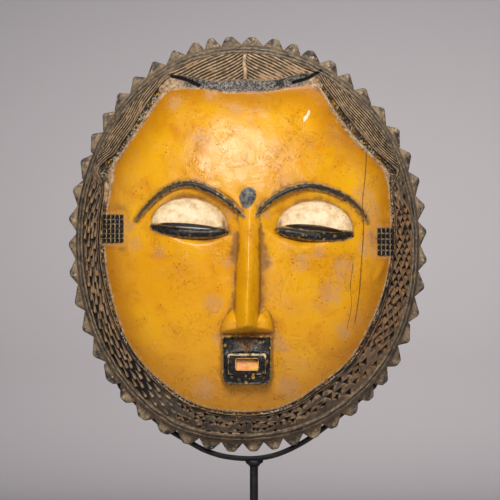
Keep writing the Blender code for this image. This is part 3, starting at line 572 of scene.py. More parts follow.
def mask_rings():
    """Rings of points from the middle of the face over the rim to the middle of the hollow."""
    full = 1632
    rings = []

    def add(count, share_at, height_at=None, gouge=False):
        angle = np.arange(count) * 2 * math.pi / count
        share = share_at(angle) + 0 * angle
        if height_at is None:
            flat = place(angle, share, 0.0)
            height = front_height(flat[:, 0] - MASK_X, flat[:, 2] - MASK_Z)[0]
        else:
            height = height_at + 0 * angle
        points = place(angle, share, height)
        if gouge:
            points[:, 1] -= gouged(points[:, 0] - MASK_X, points[:, 2] - MASK_Z)
        rings.append(points)

    for part in np.linspace(0.012, 1.0, 112):
        count = full // 8 if part < 0.12 else full // 4 if part < 0.32 else full // 2
        add(count, lambda angle, part=part: part * around(FACE_EDGE, angle))
    for part in np.linspace(0, 1, 15)[1:]:
        add(full, lambda angle, part=part: (
            around(FACE_EDGE, angle) * (1 - part) + around(HATCH_EDGE, angle) * part))
    for part in np.linspace(0, 1, 49)[1:]:
        add(full, lambda angle, part=part: around(HATCH_EDGE, angle) * (1 - part) + BAND_EDGE * part)
    for share in np.linspace(BAND_EDGE, RIM_EDGE, 18)[1:]:
        add(full, lambda angle, share=share: share)
    mouth = FLANGE_EDGE - WALL / MEAN_RADIUS
    rim = ((RIM_EDGE + 0.002, RIM_HEIGHT - 0.0022), (RIM_EDGE + 0.002, FLANGE_DEPTH + 0.0008),
           (RIM_EDGE - 0.002, FLANGE_DEPTH), (FLANGE_EDGE + 0.002, FLANGE_DEPTH - 0.0002),
           (FLANGE_EDGE, FLANGE_DEPTH - 0.0010), (FLANGE_EDGE, 0.004), (FLANGE_EDGE, 0.0010),
           (FLANGE_EDGE - 0.006, 0.0), (0.5 * (FLANGE_EDGE + mouth), 0.0), (mouth + 0.008, 0.0),
           (mouth, 0.0010))
    for number, (share, height) in enumerate(rim):
        add(full // 2 if number < 2 else full // 4, lambda angle, share=share: share, height)
    for part in np.linspace(0.935, 0.02, 44):
        share, height = hollow_place(part)
        add(full // 4 if part > 0.25 else full // 8, lambda angle, share=share: share, height, gouge=True)
    return rings


def new_object(name, data):
    """Object of a mesh, a lamp or a camera, in the scene."""
    made = bpy.data.objects.new(name, data)
    bpy.context.scene.collection.objects.link(made)
    return made


def object_of(name, bm):
    """Object of a mesh that was built by hand."""
    mesh = bpy.data.meshes.new(name)
    bm.to_mesh(mesh)
    bm.free()
    return new_object(name, mesh)


def ring_faces(first, second):
    """Faces between two rings of vertex numbers, where one may have twice as many as the other."""
    near, far = len(first), len(second)
    if near == far:
        turn = np.roll(np.arange(near), -1)
        return [tuple(quad) for quad in np.column_stack((first, second, second[turn], first[turn])).tolist()]
    flip = near < far
    fine, coarse = (second, first) if flip else (first, second)
    steps = np.arange(len(coarse))
    here, there = coarse, np.roll(coarse, -1)
    one, two, three = fine[2 * steps], fine[2 * steps + 1], fine[(2 * steps + 2) % len(fine)]
    faces = np.concatenate((
        np.column_stack((here, two, one)),
        np.column_stack((here, there, two)),
        np.column_stack((there, three, two)),
    ))
    faces = faces[:, ::-1] if flip else faces
    return [tuple(triangle) for triangle in faces.tolist()]


def lofted_mesh(name, rings, first_point, last_point):
    """Closed skin over a row of rings with a point at each end."""
    starts = np.cumsum([0] + [len(ring) for ring in rings])
    numbers = [np.arange(start, start + len(ring)) for start, ring in zip(starts, rings)]
    faces = []
    for first, second in zip(numbers, numbers[1:]):
        faces += ring_faces(first, second)
    total = int(starts[-1])
    for ring, point, inward in ((numbers[0], total, False), (numbers[-1], total + 1, True)):
        here, there = ring, np.roll(ring, -1)
        if inward:
            here, there = there, here
        cap = np.column_stack((np.full(len(ring), point), here, there))
        faces += [tuple(triangle) for triangle in cap.tolist()]
    points = np.concatenate((*rings, [first_point], [last_point]))
    mesh = bpy.data.meshes.new(name)
    mesh.from_pydata(points.tolist(), [], faces)
    bm = bmesh.new()
    bm.from_mesh(mesh)
    bmesh.ops.recalc_face_normals(bm, faces=bm.faces)
    if bm.calc_volume() < 0:
        bmesh.ops.reverse_faces(bm, faces=bm.faces)
    bm.to_mesh(mesh)
    bm.free()
    return mesh


def settle(piece):
    """Turns a piece with live modifiers into its plain mesh."""
    bpy.context.view_layer.update()
    evaluated = piece.evaluated_get(bpy.context.evaluated_depsgraph_get())
    mesh = bpy.data.meshes.new_from_object(evaluated)
    piece.modifiers.clear()
    piece.data = mesh
    return piece


def scatter_tree():
    """Geometry Nodes tree that sets one carved form on every point, turned and sized by the point."""
    tree = bpy.data.node_groups.new("carved_forms_on_points", "GeometryNodeTree")
    kinds = {"Points": "Geometry", "Form": "Object", "Width": "Float", "Thickness": "Float",
             "Length": "Float", "Unevenness": "Float", "Seed": "Int"}
    for name, kind in kinds.items():
        tree.interface.new_socket(name, in_out="INPUT", socket_type="NodeSocket" + kind)
    tree.interface.new_socket("Carved", in_out="OUTPUT", socket_type="NodeSocketGeometry")
    given = outputs_of(tree.nodes.new("NodeGroupInput"))
    form = output(tree, "GeometryNodeObjectInfo", {"Object": given["Form"]}, "Geometry")
    sizes = {"X": given["Width"], "Y": given["Thickness"], "Z": given["Length"]}
    size = output(tree, "ShaderNodeCombineXYZ", sizes)
    own_size, own_turn = (
        output(tree, "GeometryNodeInputNamedAttribute", {"Name": name}, "Attribute", data_type="FLOAT_VECTOR")
        for name in ("size", "turn"))
    limits = {0: 1.0 - given["Unevenness"], 1: 1.0 + given["Unevenness"], "Seed": given["Seed"]}
    chance = output(tree, "FunctionNodeRandomValue", limits, data_type="FLOAT_VECTOR")
    scale = vector("MULTIPLY", vector("MULTIPLY", size, own_size), chance)
    turn = output(tree, "FunctionNodeEulerToRotation", {0: own_turn})
    inputs = {"Points": given["Points"], "Instance": form, "Rotation": turn, "Scale": scale}
    placed = output(tree, "GeometryNodeInstanceOnPoints", inputs)
    make_node(tree, "NodeGroupOutput", {"Carved": output(tree, "GeometryNodeRealizeInstances", {0: placed})})
    return tree


def scattered(name, tree, form, points, sizes, unevenness, seed):
    """Plain mesh piece of one form set on points, each with a place, a turn and a size of its own."""
    mesh = bpy.data.meshes.new(name)
    mesh.from_pydata([point["at"] for point in points], [], [])
    for key in ("turn", "size"):
        layer = mesh.attributes.new(key, "FLOAT_VECTOR", "POINT")
        layer.data.foreach_set("vector", np.array([point[key] for point in points], dtype=float).ravel())
    piece = new_object(name, mesh)
    modifier = piece.modifiers.new("carved_forms", "NODES")
    modifier.node_group = tree
    values = {"Form": form, "Width": sizes[0], "Thickness": sizes[1], "Length": sizes[2],
              "Unevenness": unevenness, "Seed": seed}
    for item in tree.interface.items_tree:
        if item.name in values:
            modifier[item.identifier] = values[item.name]
    settle(piece)
    bpy.data.objects.remove(form)
    return piece


def section_form(name, sections):
    """Closed tooth over sections along its length, rounded more than a square and less than an oval."""
    rings = []
    angle = np.arange(14) * 2 * math.pi / 14
    power = 2 / 2.3
    for along, wide, thick, shift in sections:
        side, rise = np.cos(angle), np.sin(angle)
        x = wide * np.sign(side) * np.abs(side) ** power
        y = thick * np.sign(rise) * np.abs(rise) ** power + shift
        rings.append(np.column_stack((x, y, along + 0 * x)))
    ends = [(0.0, sections[end][3], sections[end][0]) for end in (0, -1)]
    return new_object(name, lofted_mesh(name, rings, *ends))


def pit_form(name, corners, deepest):
    """Chisel cut: a flat outline on top that runs down to one point."""
    bm = bmesh.new()
    top = [bm.verts.new((x, y, 0.30)) for x, y in corners]
    rim = [bm.verts.new((x, y, 0.0)) for x, y in corners]
    point = bm.verts.new((*deepest, -1.0))
    bm.faces.new(top)
    for number in range(len(corners)):
        after = (number + 1) % len(corners)
        bm.faces.new((top[number], rim[number], rim[after], top[after]))
        bm.faces.new((rim[number], point, rim[after]))
    bmesh.ops.recalc_face_normals(bm, faces=bm.faces)
    return object_of(name, bm)


def surface_frame(angle, share):
    """Frame on the head: along the rim clockwise, outward along the surface, and out of it."""
    def at(turn, out):
        angles, shares = np.array([angle + turn]), np.array([share + out])
        return Vector(place(angles, shares, dome(shares))[0])
    along = (at(0.004, 0) - at(-0.004, 0)).normalized()
    outward = (at(0, 0.002) - at(0, -0.002)).normalized()
    normal = outward.cross(along).normalized()
    normal = normal if normal.y < 0 else -normal
    return at(0, 0), along, normal.cross(along).normalized(), normal


def set_on(angle, share, lift, turn, size):
    """A point for one form whose x runs along the rim, y across the band and z out of the surface."""
    middle, along, across, normal = surface_frame(angle, share)
    axes = Matrix((along, across, normal)).transposed() @ Matrix.Rotation(turn, 3, "Z")
    return {"at": middle + normal * lift, "turn": tuple(axes.to_euler()), "size": size}


def tooth_points():
    """Where each tooth stands on the rim, and how wide and long it is: the pointed ones, then the blunt."""
    draw = np.random.default_rng(12)
    pointed, blunt = [], []
    angles = np.radians(TOOTH_ANGLES)
    count = len(angles)
    back = Vector((0, -0.5 * (FLANGE_DEPTH + RIM_HEIGHT) + 0.0002, 0))
    shares = np.array([TOOTH_SIDE_SHARE, TOOTH_SIDE_SHARE, TOOTH_FOOT_SHARE, TOOTH_TIP_SHARE])
    for number, angle in enumerate(angles):
        before = angles[number - 1] - (2 * math.pi if number == 0 else 0.0)
        after = angles[(number + 1) % count] + (2 * math.pi if number == count - 1 else 0.0)
        turns = np.array([(before + angle) / 2, (angle + after) / 2, angle, angle])
        left, right, foot, tip = place(turns, shares, 0.0)
        outward = Vector(tip - foot)
        middle = Vector((left + right) / 2) + back - TOOTH_SINK * outward
        axis = (Vector(tip) - Vector((left + right) / 2)).normalized()
        side = Vector((0, 1, 0)).cross(axis).normalized()
        axes = Matrix((side, axis.cross(side), axis)).transposed()
        wide = float(np.linalg.norm(right - left)) * draw.uniform(*TOOTH_WIDTHS)
        long = TOOTH_STRETCH * outward.length * draw.uniform(*TOOTH_LENGTHS)
        end = middle + TOOTH_SPARE * long * axis
        # A tooth that would stand out of the solids' box is cut back to it
        beyond = max(0.0, end.x - CAD_BOX[1][0], CAD_BOX[0][0] - end.x, end.z + 0.0002 - CAD_BOX[1][2])
        size = (wide, 1.0, long - TOOTH_STRETCH * beyond)
        turned = math.degrees(angle)
        rounder = turned < BLUNT_TO or turned > BLUNT_FROM or BLUNT_BELOW[0] < turned < BLUNT_BELOW[1]
        point = {"at": middle, "turn": tuple(axes.to_euler()), "size": size}
        (blunt if rounder else pointed).append(point)
    return pointed, blunt


def band_place(turned, part):
    """Share of the way out of a part of the band's width, at an angle."""
    hatch = float(around(HATCH_EDGE, turned))
    return hatch + 0.004 + part * (BAND_EDGE - 0.006 - hatch)


def pit_points():
    """Chisel cuts of the lattice: diamonds on the right, triangles round the bottom, small ones last."""
    draw = np.random.default_rng(33)
    diamonds, triangles = [], []
    for target, rows in ((diamonds, DIAMOND_ROWS), (triangles, WIDE_TRIANGLE_ROWS),
                         (triangles, SMALL_TRIANGLE_ROWS), (diamonds, NARROW_DIAMOND_ROWS)):
        start, end, pitch, parts, sizes, loose = rows
        for row, part in enumerate(parts):
            angle = start + (row % 2) * 0.5 * pitch
            while angle < end:
                turned = math.radians(angle + draw.uniform(-loose, loose) * pitch * 0.5)
                share = band_place(turned, part) + draw.uniform(-0.06, 0.06) * loose
                turn = draw.uniform(-1.0, 1.0) * loose
                grow = draw.uniform(1 - 0.5 * loose, 1 + 0.5 * loose, 3)
                size = tuple(float(side * more) for side, more in zip(sizes, grow))
                target.append(set_on(turned, share, -BAND_DROP + 0.0001, turn, size))
                angle += pitch
    return diamonds, triangles


def scale_points():
    """Raised scales on the left of the band, staggered in rows along the rim."""
    draw = np.random.default_rng(44)
    points = []
    for row, part in enumerate(SCALE_ROWS):
        angle = SCALES_FROM + (row % 2) * SCALE_STAGGER + draw.uniform(0, 0.6)
        while angle < SCALES_TO:
            turned = math.radians(angle + draw.uniform(-0.5, 0.5))
            width = (BAND_EDGE - float(around(HATCH_EDGE, turned))) * MEAN_RADIUS / len(SCALE_ROWS)
            long = (SHORT_SCALE if angle < LONG_SCALES_FROM else 1.0) * draw.uniform(0.85, 1.1)
            size = (long, width * draw.uniform(0.76, 0.98), draw.uniform(0.9, 1.1))
            share = band_place(turned, part)
            points.append(set_on(turned, share, -SCALE_DROP, draw.uniform(-0.20, 0.10), size))
            angle += SCALE_PITCH
    return points


def temple_points():
    """Small raised squares on both temples, in columns and rows."""
    draw = np.random.default_rng(55)
    points = []
    for across, up, columns, rows, wide, tall in TEMPLES:
        for column in range(columns):
            for row in range(rows):
                x = across * HALF_WIDTH + (column - (columns - 1) / 2) * wide
                z = up * HALF_HEIGHT + (row - (rows - 1) / 2) * tall
                angle, share = polar(np.float64(x), np.float64(z))
                step = 0.001
                slope_x = float(head_height(x + step, z) - head_height(x - step, z)) / (2 * step)
                slope_z = float(head_height(x, z + step) - head_height(x, z - step)) / (2 * step)
                right = Vector((1, -slope_x, 0)).normalized()
                upward = Vector((0, -slope_z, 1)).normalized()
                normal = right.cross(upward).normalized()
                normal = normal if normal.y < 0 else -normal
                axes = Matrix((right, normal.cross(right), normal)).transposed()
                at = Vector((MASK_X + x, MASK_Y - float(dome(share)), MASK_Z + z))
                grow = draw.uniform(0.9, 1.1, 3) * (wide, tall, 1.0)
                points.append({"at": at, "turn": tuple(axes.to_euler()), "size": tuple(map(float, grow))})
    return points


def slit_cutter(name, given):
    """Lens-shaped prism that cuts an eye slit through the wall, slanting down as it goes in."""
    start, end = (Vector(from_photo(pixel)) for pixel in given[:2])
    middle, along = (start + end) / 2, (end - start) / 2
    across = Vector((-along.y, along.x)).normalized() * given[2] / 2
    front = MASK_Y - float(head_height(np.float64(middle.x), np.float64(middle.y))) - SLIT_AHEAD
    depth = SLIT_AHEAD + 2.8 * WALL
    fall = depth * math.tan(math.radians(given[3]))
    outline = []
    for turn in np.arange(40) * 2 * math.pi / 40:
        rise = math.sin(turn)
        point = middle + along * math.cos(turn) + across * math.copysign(abs(rise) ** 1.2, rise)
        outline.append((MASK_X + point.x, MASK_Z + point.y))
    rings = [np.array([(x, front + part * depth, z + (0.17 - part) * fall) for x, z in outline])
             for part in (0.0, 1.0)]
    ends = [tuple(ring.mean(axis=0)) for ring in rings]
    return new_object(name, lofted_mesh(name, rings, *ends))


def opening_cutter():
    """Block that cuts the mouth's opening into the lip."""
    x, z = spot(MOUTH_MIDDLE)
    side, rise, plane = mouth_plane(np.array([x, x]), np.array([z - 0.001, z + 0.001]))
    lean = float(plane[1] - plane[0]) / 0.002
    bm = bmesh.new()
    bmesh.ops.create_cube(bm, size=1.0)
    bmesh.ops.scale(bm, verts=bm.verts, vec=(OPENING_SIZE[0], 2 * OPENING_DEPTH, OPENING_SIZE[1]))
    edges = [edge for edge in bm.edges if abs(edge.verts[0].co.y - edge.verts[1].co.y) > 0.001]
    bmesh.ops.bevel(bm, geom=edges, offset=OPENING_CORNER, segments=3, profile=0.5, affect="EDGES")
    height = float(plane.mean()) + MOUTH_RISE + LIP_RISE
    turn = Matrix.Rotation(math.atan(lean), 4, "X")
    bm.transform(Matrix.Translation((MASK_X + x, MASK_Y - height, MASK_Z + z - LIP_DROP)) @ turn)
    return object_of("mouth_opening", bm)


def combine(piece, other, operation):
    """Joins another solid to a piece or cuts it out, and drops the other."""
    modifier = piece.modifiers.new(operation.lower(), "BOOLEAN")
    modifier.operation = operation
    modifier.object = other
    modifier.solver = "MANIFOLD"
    settle(piece)
    mesh = other.data
    bpy.data.objects.remove(other)
    bpy.data.meshes.remove(mesh)


def carve_mask():
    """The whole mask as one mesh: the lofted head, its teeth, scales and squares, and every cut."""
    middle = [float(value) for value in front_height(np.zeros(1), np.zeros(1))[0]]
    first = (MASK_X, MASK_Y - middle[0], MASK_Z)
    last = (MASK_X, MASK_Y - (DOME_HEIGHT - WALL), MASK_Z)
    mask = new_object("carved_mask", lofted_mesh("carved_mask", mask_rings(), first, last))
    mask.modifiers.new("thinned", "DECIMATE").ratio = KEPT_SHARE
    settle(mask)
    tree = scatter_tree()
    pointed, blunt = tooth_points()
    diamonds, triangles = pit_points()
    square = (SQUARE_SHARE, SQUARE_SHARE, MM)
    for name, form, points, sizes, unevenness, seed, operation in (
            ("pointed_teeth", section_form("pointed_tooth", POINTED_TOOTH), pointed,
             (1.0, TOOTH_THICKNESS, 1.0), 0.02, 7, "UNION"),
            ("blunt_teeth", section_form("blunt_tooth", BLUNT_TOOTH), blunt,
             (1.0, TOOTH_THICKNESS, 1.0), 0.02, 7, "UNION"),
            ("scales", scale_form("scale", SCALE_SECTIONS), scale_points(),
             (1.0, 1.0, 1.0), 0.03, 9, "UNION"),
            ("temple_squares", square_form("square"), temple_points(), square, 0.03, 3, "UNION"),
            ("diamond_pits", pit_form("diamond", DIAMOND, DIAMOND_DEEPEST), diamonds,
             (1.0, 1.0, 1.0), 0.03, 5, "DIFFERENCE"),
            ("triangle_pits", pit_form("triangle", TRIANGLE, TRIANGLE_DEEPEST), triangles,
             (1.0, 1.0, 1.0), 0.03, 6, "DIFFERENCE")):
        combine(mask, scattered(name, tree, form, points, sizes, unevenness, seed), operation)
    for name, ends in (("left_slit", LEFT_SLIT), ("right_slit", RIGHT_SLIT)):
        combine(mask, slit_cutter(name, ends), "DIFFERENCE")
    combine(mask, opening_cutter(), "DIFFERENCE")
    return mask


def scale_form(name, sections):
    """Tongue-shaped scale: narrow and low at its upper end, wide and proud at its lower end."""
    rings = []
    angle = np.arange(12) * 2 * math.pi / 12
    for along, wide, rise in sections:
        y = wide * np.cos(angle)
        steep = np.abs(np.sin(angle))
        z = np.where(np.sin(angle) > 0, rise * MM * steep ** 0.8, -0.0012 * steep)
        rings.append(np.column_stack((-along + 0 * y, y, z)))
    ends = [(-sections[end][0], 0.0, 0.0) for end in (0, -1)]
    return new_object(name, lofted_mesh(name, rings, *ends))


def square_form(name):
    """Small pillow-shaped square, one unit wide, that stands out by its rise."""
    bm = bmesh.new()
    bmesh.ops.create_cube(bm, size=1.0)
    bmesh.ops.scale(bm, verts=bm.verts, vec=(1.0, 1.0, 2 * TEMPLE_RISE / MM))
    bmesh.ops.bevel(bm, geom=list(bm.edges), offset=0.16, segments=2, profile=0.6, affect="EDGES")
    return object_of(name, bm)


def spread_out(values, first, second, links, times):
    """Values of a mesh's points, averaged with their neighbours a number of times."""
    for _ in range(times):
        total = np.bincount(first, values[second], len(values))
        total = total + np.bincount(second, values[first], len(values))
        values = 0.5 * values + 0.5 * total / links
    return values


def bend_of(mesh):
    """How hollow (over 0) or proud (under 0) the surface is at each point, close by and further around."""
    count = len(mesh.vertices)
    places, normals = np.empty(3 * count), np.empty(3 * count)
    mesh.vertices.foreach_get("co", places)
    mesh.vertices.foreach_get("normal", normals)
    places, normals = places.reshape(-1, 3), normals.reshape(-1, 3)
    pairs = np.empty(2 * len(mesh.edges), dtype=np.int32)
    mesh.edges.foreach_get("vertices", pairs)
    first, second = pairs.reshape(-1, 2).T
    links = np.maximum(np.bincount(first, minlength=count) + np.bincount(second, minlength=count), 1)
    step = places[second] - places[first]
    length = np.linalg.norm(step, axis=1)
    total = np.bincount(first, length, count) + np.bincount(second, length, count)
    rise = np.bincount(first, np.einsum("ij,ij->i", step, normals[first]), count)
    rise = rise - np.bincount(second, np.einsum("ij,ij->i", step, normals[second]), count)
    near = rise / np.maximum(total ** 2 / links, 1e-9)
    near = np.clip(near / 900, -1, 1)
    wide = spread_out(near, first, second, links, 22)
    return places, normals, spread_out(near, first, second, links, 2), wide


def paint_notes(x, z):
    """How far inside the black, cream and other painted places each point lies, in millimetres."""
    black = cream = temple = np.full(len(x), -9.0)
    for line in (LEFT_BROW, RIGHT_BROW):
        gap, part = along_line(x, z, metres(line))
        black = np.maximum(black, (BROW_HALF * swell(part) - gap) / MM)
    for eye in EYES:
        gap, part = along_line(x, z, lower_lid_line(eye))
        black = np.maximum(black, (lower_lid_radius(part) + 0.0002 - gap) / MM)
        across, up, _ = eye_place(eye, x, z)
        reach = np.hypot(across / (LID_SPREAD[0] * HALF_WIDTH), up / (LID_SPREAD[1] * HALF_HEIGHT))
        cream = np.maximum(cream, np.minimum((1 - reach) * 15.0, up / MM + 0.6))
    for start, end, tall, _ in (LEFT_SLIT, RIGHT_SLIT):
        gap, part = along_line(x, z, np.array([from_photo(start), from_photo(end)]))
        half = 0.5 * tall * np.sqrt(np.clip(4 * part * (1 - part), 0, 1))
        black = np.maximum(black, (half + 0.0004 - gap) / MM)
    for across, up, columns, rows, wide, tall in TEMPLES:
        size = (columns * wide, rows * tall)
        inside = rounded_box(x - across * HALF_WIDTH, z - up * HALF_HEIGHT, size, 0.0006)
        temple = np.maximum(temple, inside / MM)
    mark = (1 - mark_reach(x - spot(FOREHEAD_MARK)[0], z - spot(FOREHEAD_MARK)[1])) * 2.5
    side, rise, _ = mouth_plane(x, z)
    mouth = mouth_edge(side, rise)
    lip = np.abs(rounded_box(side, rise + LIP_DROP, LIP_SIZE, MOUTH_CORNER / 2) / MM - 0.5)
    lip_top = np.minimum(0.55 - lip, (rise + LIP_DROP - 0.30 * LIP_SIZE[1]) / MM)
    cream = np.maximum(cream, np.maximum(lip_top, 0.10 - lip))
    low_edge, top_edge = LIP_SIZE[1] / 2 - LIP_DROP, MOUTH_SIZE[1] / 2
    wide = 0.45 * LIP_HOLLOW * ease(rise, low_edge - 0.002, top_edge) + 1e-5
    valley = 1 - np.abs(side + 0.0004) / wide
    opening = rounded_box(side, rise + LIP_DROP, OPENING_SIZE, OPENING_CORNER) / MM + 0.25
    black = np.maximum(np.maximum(black, mouth / MM), np.maximum(temple, mark))
    found = {"black": black, "cream": cream, "opening": opening, "mark": mark, "temple": temple}
    found = {name: np.clip(values, -9, 9) for name, values in found.items()}
    return {**found, "valley": np.where(mouth > 0, np.clip(valley, -1, 1), -1.0)}


def border_notes(x, z, angle, share):
    """Wear, flecks and dust of the border between the face and the carving, and the hair's strands."""
    face, hatch = around(FACE_EDGE, angle), around(HATCH_EDGE, angle)
    out = (share - face) / (hatch - face)
    beyond = (share - face) * MEAN_RADIUS
    hair = hair_zone(angle)
    _, side_panel, strand_at = strands(angle, share, x, z)
    panel, parting = strand_parts(angle, share, x, z, beyond, beyond / out)
    end = 0.12 * (1 - hair) + hair * (0.06 + 0.22 * side_panel)
    start = ease(out, -0.15, 0.0)
    worn = start * (1 - ease(out, end, end + 0.10))
    for corner, spread in WORN_CORNERS:
        near = np.exp(-((np.degrees(angle) % 360 - corner) / spread) ** 2)
        worn = np.maximum(worn, near * start * (1 - ease(out, 0.70, 0.95)))
    flecked = ease(out, end, end + 0.12) * (1 - ease(out, 0.55 + 0.25 * hair, 0.65 + 0.28 * hair))
    return {
        "strand_at": strand_at,
        "panel": panel * hair * (1 - parting),
        "parting": parting * hair,
        "worn": worn,
        "flecked": flecked * (1 - hair * (1 - side_panel)),
        "dusty": hair * (1 - side_panel) * ease(out, 0.05, 0.2) * (1 - ease(out, 0.92, 1.0)),
    }


def wear_notes(x, z, temple):
    """How rubbed the yellow is, and distances to its cracks and to the cuts beside the hair's peak."""
    rubbing = np.zeros(len(x))
    for across, down, wide_px in WORN_PLACES:
        middle, radius = from_photo((across, down)), wide_px * HALF_WIDTH / PHOTO_HALF[0]
        rubbing = rubbing + np.exp(-np.hypot(x - middle[0], z - middle[1]) ** 2 / radius ** 2)
    rubbing = rubbing + 0.8 * np.exp(-((temple + 0.7) / 1.3) ** 2) * (temple < 0)
    found = {"rubbing": np.clip(rubbing, 0, 1.5), "crease": np.clip(notch_gap(x, z) / MM, 0, 9)}
    for name, here, pixels in (("crack", "crack_here", CRACK), ("fine_crack", "fine_here", FINE_CRACK)):
        gap, found[here] = beside_line(x, z, photo_line(pixels))
        found[name] = np.clip(gap / MM, -20, 20)
    return found


def surface_notes(piece):
    """Writes what each point of the mask is as attributes, and returns their names."""
    mesh = piece.data
    places, normals, near, wide = bend_of(mesh)
    x, z = places[:, 0] - MASK_X, places[:, 2] - MASK_Z
    height = MASK_Y - places[:, 1]
    angle, share = polar(x, z)
    faces_front = ease(-normals[:, 1], -0.35, -0.05)
    painted = paint_notes(x, z)
    notes = {
        "front": faces_front * ease(height - 0.6 * dome(share) + 0.004, 0.0, 0.001),
        "yellow": np.clip((around(FACE_EDGE, angle) - share) * MEAN_RADIUS / MM, -30, 30),
        "carved": np.clip((front_height(x, z)[1] - height) / MM, -2, 4),
        "hollow_near": near,
        "hollow_wide": np.clip(3 * wide, -1, 1),
        "turned": np.degrees(angle) % 360 / 360,
        "reach": share,
        **painted,
        **border_notes(x, z, angle, share),
        **wear_notes(x, z, painted["temple"]),
    }
    for name, values in notes.items():
        layer = mesh.attributes.new(name, "FLOAT", "POINT")
        layer.data.foreach_set("value", np.asarray(values, dtype=np.float32))
    return list(notes)


def paint(red, green, blue):
    """Shader colour of a colour as a screen shows it, from 0 to 255."""
    channels = []
    for level in (red, green, blue):
        part = level / 255
        channels.append(part / 12.92 if part <= 0.04045 else ((part + 0.055) / 1.055) ** 2.4)
    return (*channels, 1.0)


class Value:
    """A node's output, which sums can be written with."""

    def __init__(self, socket):
        self.socket = socket
        self.tree = socket.id_data

    def __add__(self, other):
        return calc("ADD", self, other)

    def __radd__(self, other):
        return calc("ADD", other, self)

    def __sub__(self, other):
        return calc("SUBTRACT", self, other)

    def __rsub__(self, other):
        return calc("SUBTRACT", other, self)

    def __mul__(self, other):
        return calc("MULTIPLY", self, other)

    def __truediv__(self, other):
        return calc("DIVIDE", self, other)


def feed(tree, sockets, inputs):
    """Joins sockets to nodes' outputs, or sets them to numbers, colours or vectors."""
    for key, value in inputs.items():
        if isinstance(value, Value):
            tree.links.new(value.socket, sockets[key])
        else:
            sockets[key].default_value = value


def make_node(tree, kind, inputs=None, **settings):
    """Adds a node, sets it up and feeds its sockets."""
    node = tree.nodes.new(kind)
    for name, value in settings.items():
        setattr(node, name, value)
    feed(tree, node.inputs, inputs or {})
    return node


def output(tree, kind, inputs=None, key=0, **settings):
    """What a new node gives at one of its outputs."""
    return Value(make_node(tree, kind, inputs, **settings).outputs[key])


def outputs_of(node):
    return {socket.name: Value(socket) for socket in node.outputs}


def calc(operation, *values):
    """Result of a sum on one or two values, each a number or a node's output."""
    tree = next(value.tree for value in values if isinstance(value, Value))
    return output(tree, "ShaderNodeMath", dict(enumerate(values)), operation=operation)


def vector(operation, first, second):
    """Result of a sum on two vectors, of which the first is a node's output."""
    return output(first.tree, "ShaderNodeVectorMath", {0: first, 1: second}, operation=operation)


def length_of(arrow):
    return output(arrow.tree, "ShaderNodeVectorMath", {0: arrow}, "Value", operation="LENGTH")


def shared_place(tree):
    """Where a shaded spot lies, in the shared frame."""
    return output(tree, "ShaderNodeTexCoord", key="Object")


def mix(factor, first, second):
    """Colour between two colours."""
    return output(factor.tree, "ShaderNodeMix", {0: factor, 6: first, 7: second}, 2, data_type="RGBA")


def ramp(value, start, end, low=0.0, high=1.0):
    """Smooth step of a value from one level to another."""
    inputs = {"Value": value, "From Min": start, "From Max": end, "To Min": low, "To Max": high}
    return output(value.tree, "ShaderNodeMapRange", inputs, interpolation_type="SMOOTHSTEP")


def noise(tree, scale, detail=3.0, roughness=0.55, at=None, distortion=0.0):
    """Cloudy value from 0 to 1 at the shared place, or at a vector that is given."""
    at = at or shared_place(tree)
    inputs = {"Vector": at, "Scale": scale, "Detail": detail, "Roughness": roughness,
              "Distortion": distortion}
    return output(tree, "ShaderNodeTexNoise", inputs)


def note(tree, name):
    """Value that the mesh holds under a name."""
    return output(tree, "ShaderNodeAttribute", key="Fac", attribute_name=name)


def make_group(name, inputs, outputs, build):
    """Shader node group of inputs with their usual values, and of the outputs that build returns."""
    tree = bpy.data.node_groups.new(name, "ShaderNodeTree")
    for socket, value in inputs.items():
        kind = "NodeSocketColor" if isinstance(value, tuple) else "NodeSocketFloat"
        tree.interface.new_socket(socket, in_out="INPUT", socket_type=kind).default_value = value
    for socket, kind in outputs.items():
        tree.interface.new_socket(socket, in_out="OUTPUT", socket_type="NodeSocket" + kind)
    results = build(tree, outputs_of(tree.nodes.new("NodeGroupInput")))
    make_node(tree, "NodeGroupOutput", results)
    return tree


def use(tree, group, inputs):
    """Outputs of a group that is put into a material with these inputs."""
    return outputs_of(make_node(tree, "ShaderNodeGroup", inputs, node_tree=group))


def edge(groups, distance, soft, scatter, scale):
    """1 where a distance is over 0 and 0 where it is under, with a ragged border between."""
    inputs = {"Distance": distance, "Softness": soft, "Scatter": scatter, "Scale": scale}
    return use(distance.tree, groups["edge"], inputs)["Mask"]


def specks(tree, groups, scale, size, amount):
    inputs = {"Scale": scale, "Size": size, "Amount": amount}
    return use(tree, groups["specks"], inputs)["Mask"]


def scratches(tree, groups, scale, width):
    return use(tree, groups["scratches"], {"Scale": scale, "Width": width})["Mask"]


def build_ragged_edge(tree, given):
    shifted = (noise(tree, given["Scale"], 4.0, 0.6) - 0.5) * given["Scatter"]
    distance = given["Distance"] + shifted
    return {"Mask": ramp(distance, given["Softness"] * -1.0, given["Softness"])}


def build_specks(tree, given):
    at = shared_place(tree)
    bent = output(tree, "ShaderNodeTexNoise", {"Vector": at, "Scale": given["Scale"] * 2.3}, "Color")
    moved = vector("ADD", at, vector("MULTIPLY", bent, (0.0006, 0.0006, 0.0006)))
    cells = outputs_of(make_node(tree, "ShaderNodeTexVoronoi", {"Vector": moved, "Scale": given["Scale"]}))
    chance = output(tree, "ShaderNodeSeparateColor", {0: cells["Color"]})
    size = ramp(chance, 0.5, 1.0) * given["Size"]
    inside = calc("LESS_THAN", cells["Distance"], size)
    patches = ramp(noise(tree, given["Scale"] * 0.12, 2.0), 0.40, 0.62)
    return {"Mask": inside * patches * given["Amount"]}


